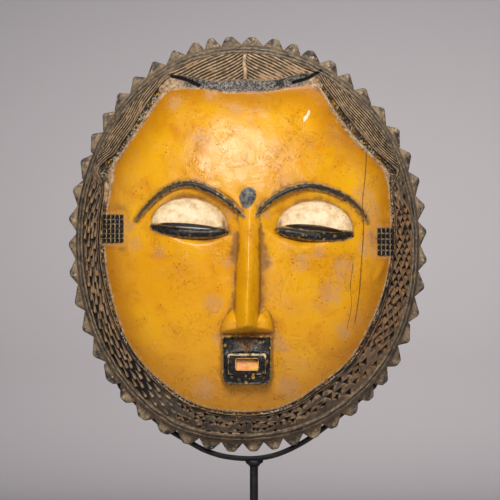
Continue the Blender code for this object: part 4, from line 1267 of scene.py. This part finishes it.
def build_fibres(tree, given):
    inputs = {"Vector": shared_place(tree), "Scale": (1.0, 1.0, 0.09)}
    long = output(tree, "ShaderNodeMapping", inputs)
    fine = noise(tree, given["Scale"], 5.0, 0.65, long, 0.3)
    broad = noise(tree, given["Scale"] * 0.14, 3.0, 0.5, long, 0.6)
    both = fine * 0.6 + broad * 0.4
    return {"Colour": mix(ramp(both, 0.36, 0.64), given["Dark"], given["Light"]), "Height": fine}


def build_scratches(tree, given):
    inputs = {"Vector": shared_place(tree), "Rotation": (0.2, 0.5, 0.1), "Scale": (1.0, 1.0, 0.05)}
    lines = noise(tree, given["Scale"], 2.0, 0.5, output(tree, "ShaderNodeMapping", inputs))
    thin = ramp(calc("ABSOLUTE", lines - 0.5), 0.0, given["Width"], 1.0, 0.0)
    return {"Mask": thin * ramp(noise(tree, 55.0, 2.0), 0.52, 0.66)}


def shader_groups():
    """The effects that the materials share, built once."""
    mask = {"Mask": "Float"}
    border = {"Distance": 0.0, "Softness": 0.3, "Scatter": 1.0, "Scale": 900.0}
    fibres = {"Scale": 500.0, "Dark": paint(40, 34, 30), "Light": paint(120, 100, 80)}
    return {
        "edge": make_group("ragged_edge", border, mask, build_ragged_edge),
        "specks": make_group("fine_specks", {"Scale": 300.0, "Size": 0.3, "Amount": 1.0}, mask, build_specks),
        "fibres": make_group("wood_fibres", fibres, {"Colour": "Color", "Height": "Float"}, build_fibres),
        "scratches": make_group("thin_scratches", {"Scale": 260.0, "Width": 0.012}, mask, build_scratches),
    }


def new_material(name):
    material = bpy.data.materials.new(name)
    material.use_nodes = True
    return material, material.node_tree, material.node_tree.nodes["Principled BSDF"]


def finish_shader(shader, inputs, height, strength, distance):
    """Feeds the shader's sockets, and its normal from a height."""
    bump = {"Height": height, "Strength": strength, "Distance": distance}
    normal = output(height.tree, "ShaderNodeBump", bump)
    feed(height.tree, shader.inputs, {**inputs, "Normal": normal})


def oval(tree, middle, wide_px, tall_px, turn):
    """Distance inside a turned oval on the face, in about millimetres, under 0 outside it."""
    size = HALF_WIDTH / PHOTO_HALF[0]
    moved = vector("SUBTRACT", shared_place(tree), (MASK_X + middle[0], 0.0, MASK_Z + middle[1]))
    inputs = {"Vector": moved, "Axis": (0.0, 1.0, 0.0), "Angle": math.radians(-turn)}
    turned = output(tree, "ShaderNodeVectorRotate", inputs)
    scaled = vector("MULTIPLY", turned, (1 / (wide_px * size), 0.0, 1 / (tall_px * size)))
    return (1.0 - length_of(scaled)) * (wide_px * size / MM)


def grid_gaps(tree):
    """1 between the temples' squares and 0 on them, whichever temple is nearer."""
    at = outputs_of(make_node(tree, "ShaderNodeSeparateXYZ", {0: shared_place(tree)}))
    right = calc("GREATER_THAN", at["X"], MASK_X)
    masks = []
    for across, up, columns, rows, wide, tall in TEMPLES:
        offsets = []
        for axis, middle, count, pitch in (("X", MASK_X + across * HALF_WIDTH, columns, wide),
                                           ("Z", MASK_Z + up * HALF_HEIGHT, rows, tall)):
            cell = calc("FRACT", (at[axis] - (middle - count * pitch / 2)) / pitch)
            offsets.append(calc("ABSOLUTE", cell - 0.5))
        masks.append(ramp(calc("MAXIMUM", *offsets), 0.36, 0.41))
    return masks[1] * right + masks[0] * (1.0 - right)


def yellow_paint(tree, groups, notes):
    """Cloudy ochre, browner below, rubbed in patches, painted shade at its edge, dirt and painted shade in
    its hollows. Gives its marks as well.
    """
    cloud = noise(tree, 22.0, 4.0, 0.55)
    ochre = mix(ramp(cloud, 0.35, 0.66), paint(226, 154, 0), paint(236, 170, 0))
    smear = noise(tree, 75.0, 5.0, 0.6, distortion=0.4)
    ochre = mix(ramp(smear, 0.48, 0.72, 0.0, 0.6), ochre, paint(204, 124, 0))
    low = output(tree, "ShaderNodeSeparateXYZ", {0: shared_place(tree)}, "Z")
    ochre = mix(ramp(low, 0.125, 0.190, 0.75, 0.0), ochre, paint(212, 146, 52))
    inward = notes["yellow"] + cloud * 8.0
    # Painted shade: the yellow turns a deeper orange towards the edge of the face, less so low down
    edge_shade = ramp(inward, 24.0, 3.0, 0.0, 0.85) * ramp(low, 0.125, 0.175, 0.35, 1.0)
    ochre = mix(edge_shade, ochre, paint(176, 108, 3))
    lines = calc("ABSOLUTE", noise(tree, 85.0, 4.0, 0.6, distortion=1.2) - 0.5)
    hair_cracks = ramp(lines, 0.0, 0.009, 1.0, 0.0) * ramp(noise(tree, 40.0, 2.0), 0.46, 0.56)
    ochre = mix(hair_cracks * 0.5, ochre, paint(150, 88, 10))
    patches = ramp(noise(tree, 34.0, 3.0, 0.55), 0.54, 0.74, 0.0, 0.45)
    patches = calc("MAXIMUM", patches, ramp(notes["rubbing"], 0.12, 0.80))
    rubbed = patches * ramp(noise(tree, 520.0, 5.0, 0.75), 0.43, 0.57, 0.08, 0.85)
    ochre = mix(rubbed, ochre, paint(196, 146, 100))
    # Dirt and painted shade: the yellow turns brown where the surface is hollow, less on the temples
    grime_and_shade = ramp(notes["hollow_wide"], 0.03, 0.34) * 1.0 + ramp(notes["hollow_near"], 0.02, 0.20) * 0.75
    grime_and_shade = grime_and_shade * ramp(noise(tree, 300.0, 5.0, 0.7), 0.30, 0.60, 0.45, 1.0)
    grime_and_shade = grime_and_shade * ramp(notes["temple"], -4.0, -1.0, 1.0, 0.15)
    ochre = mix(calc("MINIMUM", grime_and_shade, 0.72), ochre, paint(112, 70, 36))
    spots = specks(tree, groups, 620.0, 0.28, 0.8)
    ochre = mix(calc("MAXIMUM", spots, specks(tree, groups, 260.0, 0.17, 0.5)), ochre, paint(140, 82, 16))
    ochre = mix(scratches(tree, groups, 210.0, 0.010) * 0.35, ochre, paint(240, 190, 96))
    return ochre, {"cracks": hair_cracks, "rubbed": rubbed, "grime_and_shade": grime_and_shade, "spots": spots}


def cut_wood(tree, groups, notes, fibres, dust):
    """Dark stain and painted shade in the cuts, their sides painted lit and shaded, dusty tan on the ridges
    and slate in the plain bands.
    """
    hollow, carved, turned = notes["hollow_near"], notes["carved"], notes["turned"]
    left_side = ramp(turned, 0.575, 0.66) * ramp(turned, 0.79, 0.83, 1.0, 0.0)
    right_side = ramp(turned, 0.19, 0.22) * ramp(turned, 0.35, 0.42, 1.0, 0.0)
    warm = left_side + right_side
    outer = ramp(notes["reach"], 0.908, 0.916)
    within = 1.0 - outer
    tan = mix(warm, paint(178, 150, 114), paint(176, 134, 88))
    tan = mix(outer, tan, paint(164, 142, 110))
    tan = mix(dust, tan, mix(outer, paint(122, 100, 76), paint(96, 86, 74)))
    flat = edge(groups, 0.14 - carved, 0.12, 0.5, 420.0) * (0.16 + warm * 0.34)
    convex = ramp(hollow, -0.02, -0.14) * edge(groups, 0.9 - carved, 0.3, 0.9, 1100.0)
    ridge = calc("MAXIMUM", convex, flat) * ramp(noise(tree, 90.0, 4.0, 0.6), 0.32, 0.56, 0.45, 1.0)
    # Painted light and shade: the sides of the cuts that face the upper left are painted lit brown, with dust
    # mixed in, and the others painted near black
    normal = output(tree, "ShaderNodeNewGeometry", key="Normal")
    inputs = {0: normal, 1: (-0.45, 0.0, 0.89)}
    toward_light = output(tree, "ShaderNodeVectorMath", inputs, "Value", operation="DOT_PRODUCT")
    lit = mix(left_side, paint(156, 110, 68), paint(156, 126, 92))
    lit_and_shaded_facet = mix(ramp(toward_light, -0.06, 0.24), paint(19, 14, 13), mix(dust, lit, paint(92, 68, 48)))
    lit_and_shaded_facet = mix(ramp(carved, 0.05, 0.28) * within, fibres["Colour"], lit_and_shaded_facet)
    # Dark stain and painted shade: the deepest cuts, and more of the cuts on the left, turn near black
    stain_and_shade = mix(ramp(carved + left_side * 1.0, 1.3, 2.5), lit_and_shaded_facet, paint(15, 11, 10))
    stain_and_shade = mix(outer * ramp(noise(tree, 130.0, 5.0, 0.7), 0.36, 0.60), stain_and_shade,
                mix(dust, paint(150, 128, 98), paint(96, 84, 72)))
    dark = mix(ridge, stain_and_shade, tan)
    # Painted shade: the hollows among the carving on the left are painted near black
    return mix(ramp(hollow, 0.04, 0.20) * left_side * within, dark, paint(15, 12, 11))


def combed_hair(tree, notes, dark, dust):
    """Strands and parting, lighter than the cuts between them, and rubbed in patches."""
    beside = calc("ABSOLUTE", calc("FRACT", notes["strand_at"]) - 0.5)
    strand = ramp(beside, 0.20, 0.36) * notes["panel"]
    strand = calc("MAXIMUM", strand, ramp(notes["parting"], 0.3, 0.6))
    strand = strand * ramp(noise(tree, 150.0, 5.0, 0.7), 0.32, 0.52, 0.35, 1.0)
    dark = mix(notes["panel"] * 0.75, dark, paint(30, 26, 25))
    dark = mix(strand, dark, mix(dust, paint(208, 178, 138), paint(158, 132, 100)))
    rubbed = ramp(noise(tree, 62.0, 4.0, 0.65), 0.52, 0.62) * notes["panel"]
    return mix(rubbed * 0.8, dark, paint(184, 150, 112))


def border_and_teeth(tree, notes, dark, dust):
    """Speckled edge over the forehead, flecked groove round the face, and worn teeth with painted shade on
    their edges.
    """
    grain = ramp(noise(tree, 700.0, 4.0, 0.8), 0.44, 0.58)
    speckled = mix(grain, paint(52, 48, 50), paint(148, 138, 126))
    speckled = mix(ramp(noise(tree, 170.0, 4.0, 0.7), 0.52, 0.62), speckled, paint(30, 27, 27))
    dark = mix(notes["dusty"], dark, speckled)
    flecks = ramp(noise(tree, 820.0, 3.0, 0.6), 0.50, 0.56)
    gilt = mix(ramp(noise(tree, 160.0, 2.0), 0.44, 0.54), paint(176, 124, 28), paint(188, 168, 134))
    groove = mix(dust, paint(20, 17, 16), paint(66, 57, 48))
    groove = mix(flecks * ramp(noise(tree, 95.0, 2.0), 0.34, 0.52), groove, gilt)
    dark = mix(ramp(notes["flecked"], 0.35, 0.75), dark, groove)
    worn = ramp(noise(tree, 170.0, 5.0, 0.7), 0.40, 0.60)
    tooth = mix(worn, paint(54, 52, 53), paint(144, 124, 98))
    tooth = mix(ramp(noise(tree, 330.0, 4.0, 0.7), 0.56, 0.66), tooth, paint(190, 164, 128))
    # Painted shade: the teeth's sharpest, proudest edges are painted dark
    tooth = mix(ramp(notes["hollow_near"], -0.12, -0.40), tooth, paint(40, 35, 33))
    tooth = mix(ramp(notes["reach"], 0.975, 0.957, 0.0, 0.5), tooth, paint(150, 120, 84))
    return mix(ramp(notes["reach"], 0.950, 0.960), dark, tooth)


def black_paint(tree, groups, notes, dust):
    """Soot black with grey-gold rubbed edges, and tan between the temples' squares."""
    temple = notes["temple"]
    soot = mix(ramp(noise(tree, 460.0, 5.0, 0.75), 0.46, 0.74), paint(13, 11, 12), paint(80, 74, 66))
    soot = mix(ramp(notes["hollow_near"], -0.08, -0.36, 0.0, 0.75), soot, paint(136, 104, 58))
    soot = mix(specks(tree, groups, 480.0, 0.56, 0.8), soot, paint(184, 146, 68))
    soot = mix(ramp(temple, -0.6, 0.0), soot, mix(dust, paint(13, 11, 11), paint(40, 34, 29)))
    gaps = ramp(temple, 0.0, 0.4) * grid_gaps(tree)
    soot = mix(gaps * ramp(noise(tree, 420.0, 4.0), 0.38, 0.52, 0.25, 1.0), soot, paint(172, 148, 112))
    rubbed = ramp(notes["black"], 1.5, 0.3) * ramp(noise(tree, 420.0, 4.0, 0.7), 0.40, 0.52)
    rubbed = rubbed * ramp(temple, -1.0, 0.0, 1.0, 0.0)
    soot = mix(rubbed * 0.85, soot, paint(184, 146, 82))
    valley = mix(dust, paint(118, 82, 46), paint(48, 35, 26))
    return mix(ramp(notes["valley"], -0.05, 0.35) * 0.9, soot, valley)


def cream_paint(tree, marks):
    pale = ramp(noise(tree, 210.0, 5.0, 0.65), 0.40, 0.66)
    lid = mix(pale, paint(250, 226, 184), paint(224, 188, 136))
    lid = mix(marks["spots"] * 0.8, lid, paint(120, 84, 50))
    # Dirt and painted shade from the face's hollows, laid over the lids
    return mix(marks["grime_and_shade"] * 0.6, lid, paint(134, 96, 62))


def small_places(tree, groups, notes, colour, is_cream):
    """The lip's pale line, the forehead's grey drop and the peach floor of the mouth's opening."""
    line = is_cream * ramp(notes["black"], 2.2, 3.2) * ramp(noise(tree, 380.0, 3.0), 0.36, 0.52)
    colour = mix(line, colour, paint(230, 206, 160))
    grey = mix(ramp(noise(tree, 600.0, 4.0, 0.7), 0.40, 0.62), paint(60, 62, 66), paint(120, 116, 104))
    colour = mix(edge(groups, notes["mark"] - 0.25, 0.2, 0.5, 700.0), colour, grey)
    peach = mix(ramp(noise(tree, 330.0, 3.0), 0.44, 0.58), paint(238, 172, 124), paint(240, 196, 92))
    opening = edge(groups, notes["opening"], 0.12, 0.25, 900.0)
    return mix(opening, colour, peach), opening


def open_cracks(groups, notes, is_yellow):
    """The long crack and the fine one beside it, in the yellow paint."""
    crack = 0.0
    for name, here, half in (("crack", "crack_here", 0.26), ("fine_crack", "fine_here", 0.12)):
        line = edge(groups, half - calc("ABSOLUTE", notes[name]), 0.12, 0.5, 260.0)
        crack = calc("MAXIMUM", crack, line * notes[here])
    return crack * is_yellow


def painted_wood(groups, names):
    """Glossy yellow face, black and cream features, dusty dark carving, and bare wood behind."""
    material, tree, shader = new_material("painted_carved_wood")
    notes = {name: note(tree, name) for name in names}
    dust = ramp(noise(tree, 400.0, 5.0, 0.75), 0.38, 0.62)
    inputs = {"Scale": 620.0, "Dark": paint(38, 34, 34), "Light": paint(98, 88, 78)}
    fibres = use(tree, groups["fibres"], inputs)
    ochre, marks = yellow_paint(tree, groups, notes)
    dark = cut_wood(tree, groups, notes, fibres, dust)
    dark = combed_hair(tree, notes, dark, dust)
    dark = border_and_teeth(tree, notes, dark, dust)
    is_yellow = edge(groups, notes["yellow"], 0.35, 1.6, 480.0)
    is_black = edge(groups, notes["black"], 0.20, 0.9, 900.0)
    is_cream = edge(groups, notes["cream"], 0.25, 0.7, 700.0)
    colour = mix(is_yellow, dark, ochre)
    worn = edge(groups, notes["worn"] - 0.55, 0.25, 1.5, 420.0)
    pale = ramp(noise(tree, 480.0, 5.0, 0.75), 0.42, 0.60)
    colour = mix(worn * 0.85, colour, mix(pale, paint(204, 172, 132), paint(140, 106, 80)))
    colour = mix(edge(groups, 1.0 - notes["crease"], 0.3, 0.8, 500.0), colour, paint(22, 19, 19))
    colour = mix(is_cream, colour, cream_paint(tree, marks))
    colour = mix(is_black, colour, black_paint(tree, groups, notes, dust))
    colour, opening = small_places(tree, groups, notes, colour, is_cream)
    crack = open_cracks(groups, notes, is_yellow)
    colour = mix(crack * 0.85, colour, paint(104, 60, 24))
    for across, down, *size_and_turn in WHITE_CHIPS:
        inside = oval(tree, from_photo((across, down)), *size_and_turn)
        colour = mix(edge(groups, inside, 0.15, 1.3, 500.0), colour, paint(240, 226, 200))
    inputs = {"Scale": 380.0, "Dark": paint(84, 58, 38), "Light": paint(134, 98, 64)}
    bare = use(tree, groups["fibres"], inputs)["Colour"]
    bare = mix(ramp(notes["reach"], 0.70, 0.93), bare, paint(60, 46, 38))
    colour = mix(notes["front"], bare, colour)

    covered = calc("MAXIMUM", calc("MAXIMUM", is_black, opening), is_cream * 0.8)
    glossy = is_yellow * notes["front"] * (1.0 - covered)
    rough = ramp(noise(tree, 90.0, 5.0, 0.6), 0.3, 0.7, 0.24, 0.37)
    rough = rough + calc("MAXIMUM", marks["grime_and_shade"], marks["rubbed"]) * 0.22
    roughness = glossy * rough + (1.0 - glossy) * (0.62 - is_black * 0.26)
    brushed = noise(tree, 110.0, 6.0, 0.62, distortion=0.5)
    height = fibres["Height"] * (1.0 - glossy * 0.85) + brushed * 1.6 + noise(tree, 900.0, 4.0, 0.6) * 0.25
    small = calc("MAXIMUM", marks["spots"], marks["cracks"]) * 0.5
    height = height - calc("MAXIMUM", crack, small) * 1.2
    inputs = {"Base Color": colour, "Roughness": roughness, "Coat Weight": glossy * 0.06,
              "Coat Roughness": 0.25, "Specular IOR Level": 0.36}
    finish_shader(shader, inputs, height, 0.60, 0.0005)
    return material


def black_steel(groups, name, dust):
    """Blackened steel with a satin skin, faint brush marks and a little dust."""
    material, tree, shader = new_material(name)
    cloud = noise(tree, 60.0, 5.0, 0.6)
    colour = mix(ramp(cloud, 0.35, 0.68), paint(20, 20, 22), paint(34, 33, 34))
    colour = mix(specks(tree, groups, 350.0, 0.26, 0.6), colour, paint(84, 78, 70))
    scratch = scratches(tree, groups, 300.0, 0.008)
    colour = mix(scratch * 0.4, colour, paint(96, 94, 92))
    dusty = ramp(noise(tree, 140.0, 6.0, 0.7), 0.42, 0.75) * dust
    colour = mix(dusty, colour, paint(98, 92, 86))
    roughness = ramp(cloud, 0.3, 0.7, 0.40, 0.52) + dusty * 0.3
    height = noise(tree, 1500.0, 3.0) + scratch * -0.6
    inputs = {"Base Color": colour, "Roughness": roughness, "Metallic": 0.55}
    finish_shader(shader, inputs, height, 0.18, 0.0002)
    return material


def make_mask(groups):
    """The mask piece with its finish, in place of the plain solid."""
    mask = carve_mask()
    finish = painted_wood(groups, surface_notes(mask))
    mask.data.materials.clear()
    mask.data.materials.append(finish)
    mask.data.shade_smooth()
    mask.data.set_sharp_from_angle(angle=math.radians(48))
    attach(mask, "root")
    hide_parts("mask")


def make_bead(steel):
    """Uneven weld where the rod meets the bar."""
    draw = np.random.default_rng(8)
    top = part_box("rod")[1][2]
    rings = []
    angle = np.arange(28) * 2 * math.pi / 28
    for rise, wide in BEAD_SECTIONS:
        lump = 1 + 0.07 * np.sin(3 * angle + draw.uniform(0, 6))
        lump = lump + 0.04 * np.sin(7 * angle + draw.uniform(0, 6))
        long = 1 + 0.45 * np.clip((rise + 0.002) / 0.003, 0, 1)
        x = wide * lump * long * np.cos(angle)
        y = wide * lump * np.sin(angle) * (1 - 0.25 * (long - 1))
        rings.append(np.column_stack((x, y, top + rise + 0 * x)))
    ends = [(0.0, 0.0, top + rise) for rise in (BEAD_SECTIONS[0][0], 0.0016)]
    bead = new_object("weld_bead", lofted_mesh("weld_bead", rings, *ends))
    bead.data.materials.append(steel)
    bead.data.shade_smooth()
    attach(bead, "root")


def paper():
    """Pale studio paper with a painted pool of light, brightest behind the mask's right side, that can't be
    seen from its back.
    """
    material, tree, shader = new_material("studio_paper")
    moved = vector("SUBTRACT", shared_place(tree), PAINTED_GLOW_MIDDLE)
    away = length_of(vector("MULTIPLY", moved, (0.46, 0.0, 0.92)))
    tone = mix(ramp(noise(tree, 1.2, 2.0), 0.3, 0.7), paint(216, 210, 212), paint(219, 213, 215))
    # Painted light: the paper is brightest at its glow's middle and painted darker away from it
    colour = mix(ramp(away, 0.0, 0.48), tone, paint(134, 131, 133))
    finish_shader(shader, {"Base Color": colour, "Roughness": 0.9}, noise(tree, 700.0), 0.03, 0.0002)
    inputs = {0: output(tree, "ShaderNodeNewGeometry", key="Backfacing"), 1: Value(shader.outputs[0]),
              2: output(tree, "ShaderNodeBsdfTransparent")}
    feed(tree, tree.nodes["Material Output"].inputs, {0: output(tree, "ShaderNodeMixShader", inputs)})
    return material


def make_stage():
    """Floor that sweeps up into a backdrop, and a floor under it for views from behind."""
    material = paper()
    bend = [(SWEEP_START + SWEEP_BEND * math.sin(turn), SWEEP_BEND - SWEEP_BEND * math.cos(turn))
            for turn in np.linspace(0, math.pi / 2, 13)[1:]]
    sweep = [(-STAGE_REACH, 0.0), (SWEEP_START, 0.0), *bend, (SWEEP_START + SWEEP_BEND, STAGE_REACH)]
    floor = [(-STAGE_REACH, -0.0006), (STAGE_REACH, -0.0006)]
    for name, line in (("studio_sweep", sweep), ("studio_floor", floor)):
        bm = bmesh.new()
        rows = [[bm.verts.new((x, y, z)) for y, z in line] for x in (-STAGE_REACH, STAGE_REACH)]
        for number in range(len(line) - 1):
            bm.faces.new((rows[0][number], rows[1][number], rows[1][number + 1], rows[0][number + 1]))
        sheet = object_of(name, bm)
        sheet.data.materials.append(material)
        sheet.data.shade_smooth()
        sheet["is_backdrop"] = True


def area_light(name, at, aim, size, power, colour=(1.0, 1.0, 1.0)):
    lamp = bpy.data.lights.new(name, "AREA")
    lamp.shape = "RECTANGLE"
    lamp.size, lamp.size_y = size
    lamp.energy = power
    lamp.color = colour
    holder = new_object(name, lamp)
    holder.location = at
    holder.rotation_euler = (Vector(aim) - Vector(at)).to_track_quat("-Z", "Y").to_euler()


def make_lights():
    middle = (MASK_X, 0.0, MASK_Z)
    cool = (0.98, 0.99, 1.0)
    area_light("key", (-0.08, -1.45, 0.98), middle, (0.60, 0.45), 23.5, (1.0, 0.99, 0.97))
    area_light("left_fill", (-1.30, -0.75, 0.40), middle, (0.5, 1.0), 1.6, cool)
    area_light("right_fill", (1.30, -0.75, 0.40), middle, (0.5, 1.0), 1.1, cool)
    area_light("backdrop_glow", (0.35, 0.05, 1.6), (0.16, SWEEP_START + SWEEP_BEND, 0.2), (0.8, 0.4), 9.0)
    world = bpy.data.worlds.new("studio")
    bpy.context.scene.world = world
    world.use_nodes = True
    backing = world.node_tree.nodes["Background"]
    backing.inputs[0].default_value = paint(182, 178, 181)
    backing.inputs[1].default_value = 0.22
    bpy.context.scene.view_settings.view_transform = "Standard"


def make_camera():
    camera = bpy.data.cameras.new("camera")
    camera.sensor_width = 36.0
    camera.lens = 36.0 * CAMERA_DISTANCE / VIEW_WIDTH
    camera.clip_start, camera.clip_end = 0.1, 20.0
    holder = new_object("camera", camera)
    holder.location = (VIEW_MIDDLE[0], VIEW_DEPTH - CAMERA_DISTANCE, VIEW_MIDDLE[1])
    holder.rotation_euler = (math.radians(90), 0.0, 0.0)
    bpy.context.scene.camera = holder


make_camera()
GROUPS = shader_groups()
make_mask(GROUPS)
STEEL = black_steel(GROUPS, "blackened_bar", 0.15)
make_bead(STEEL)
for node_name, dust in (("cradle", 0.15), ("rod", 0.15), ("base", 0.25)):
    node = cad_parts[node_name]
    finish = black_steel(GROUPS, "blackened_" + node_name, dust)
    node.data.materials.clear()
    node.data.materials.append(finish)
make_stage()
make_lights()

low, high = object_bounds()
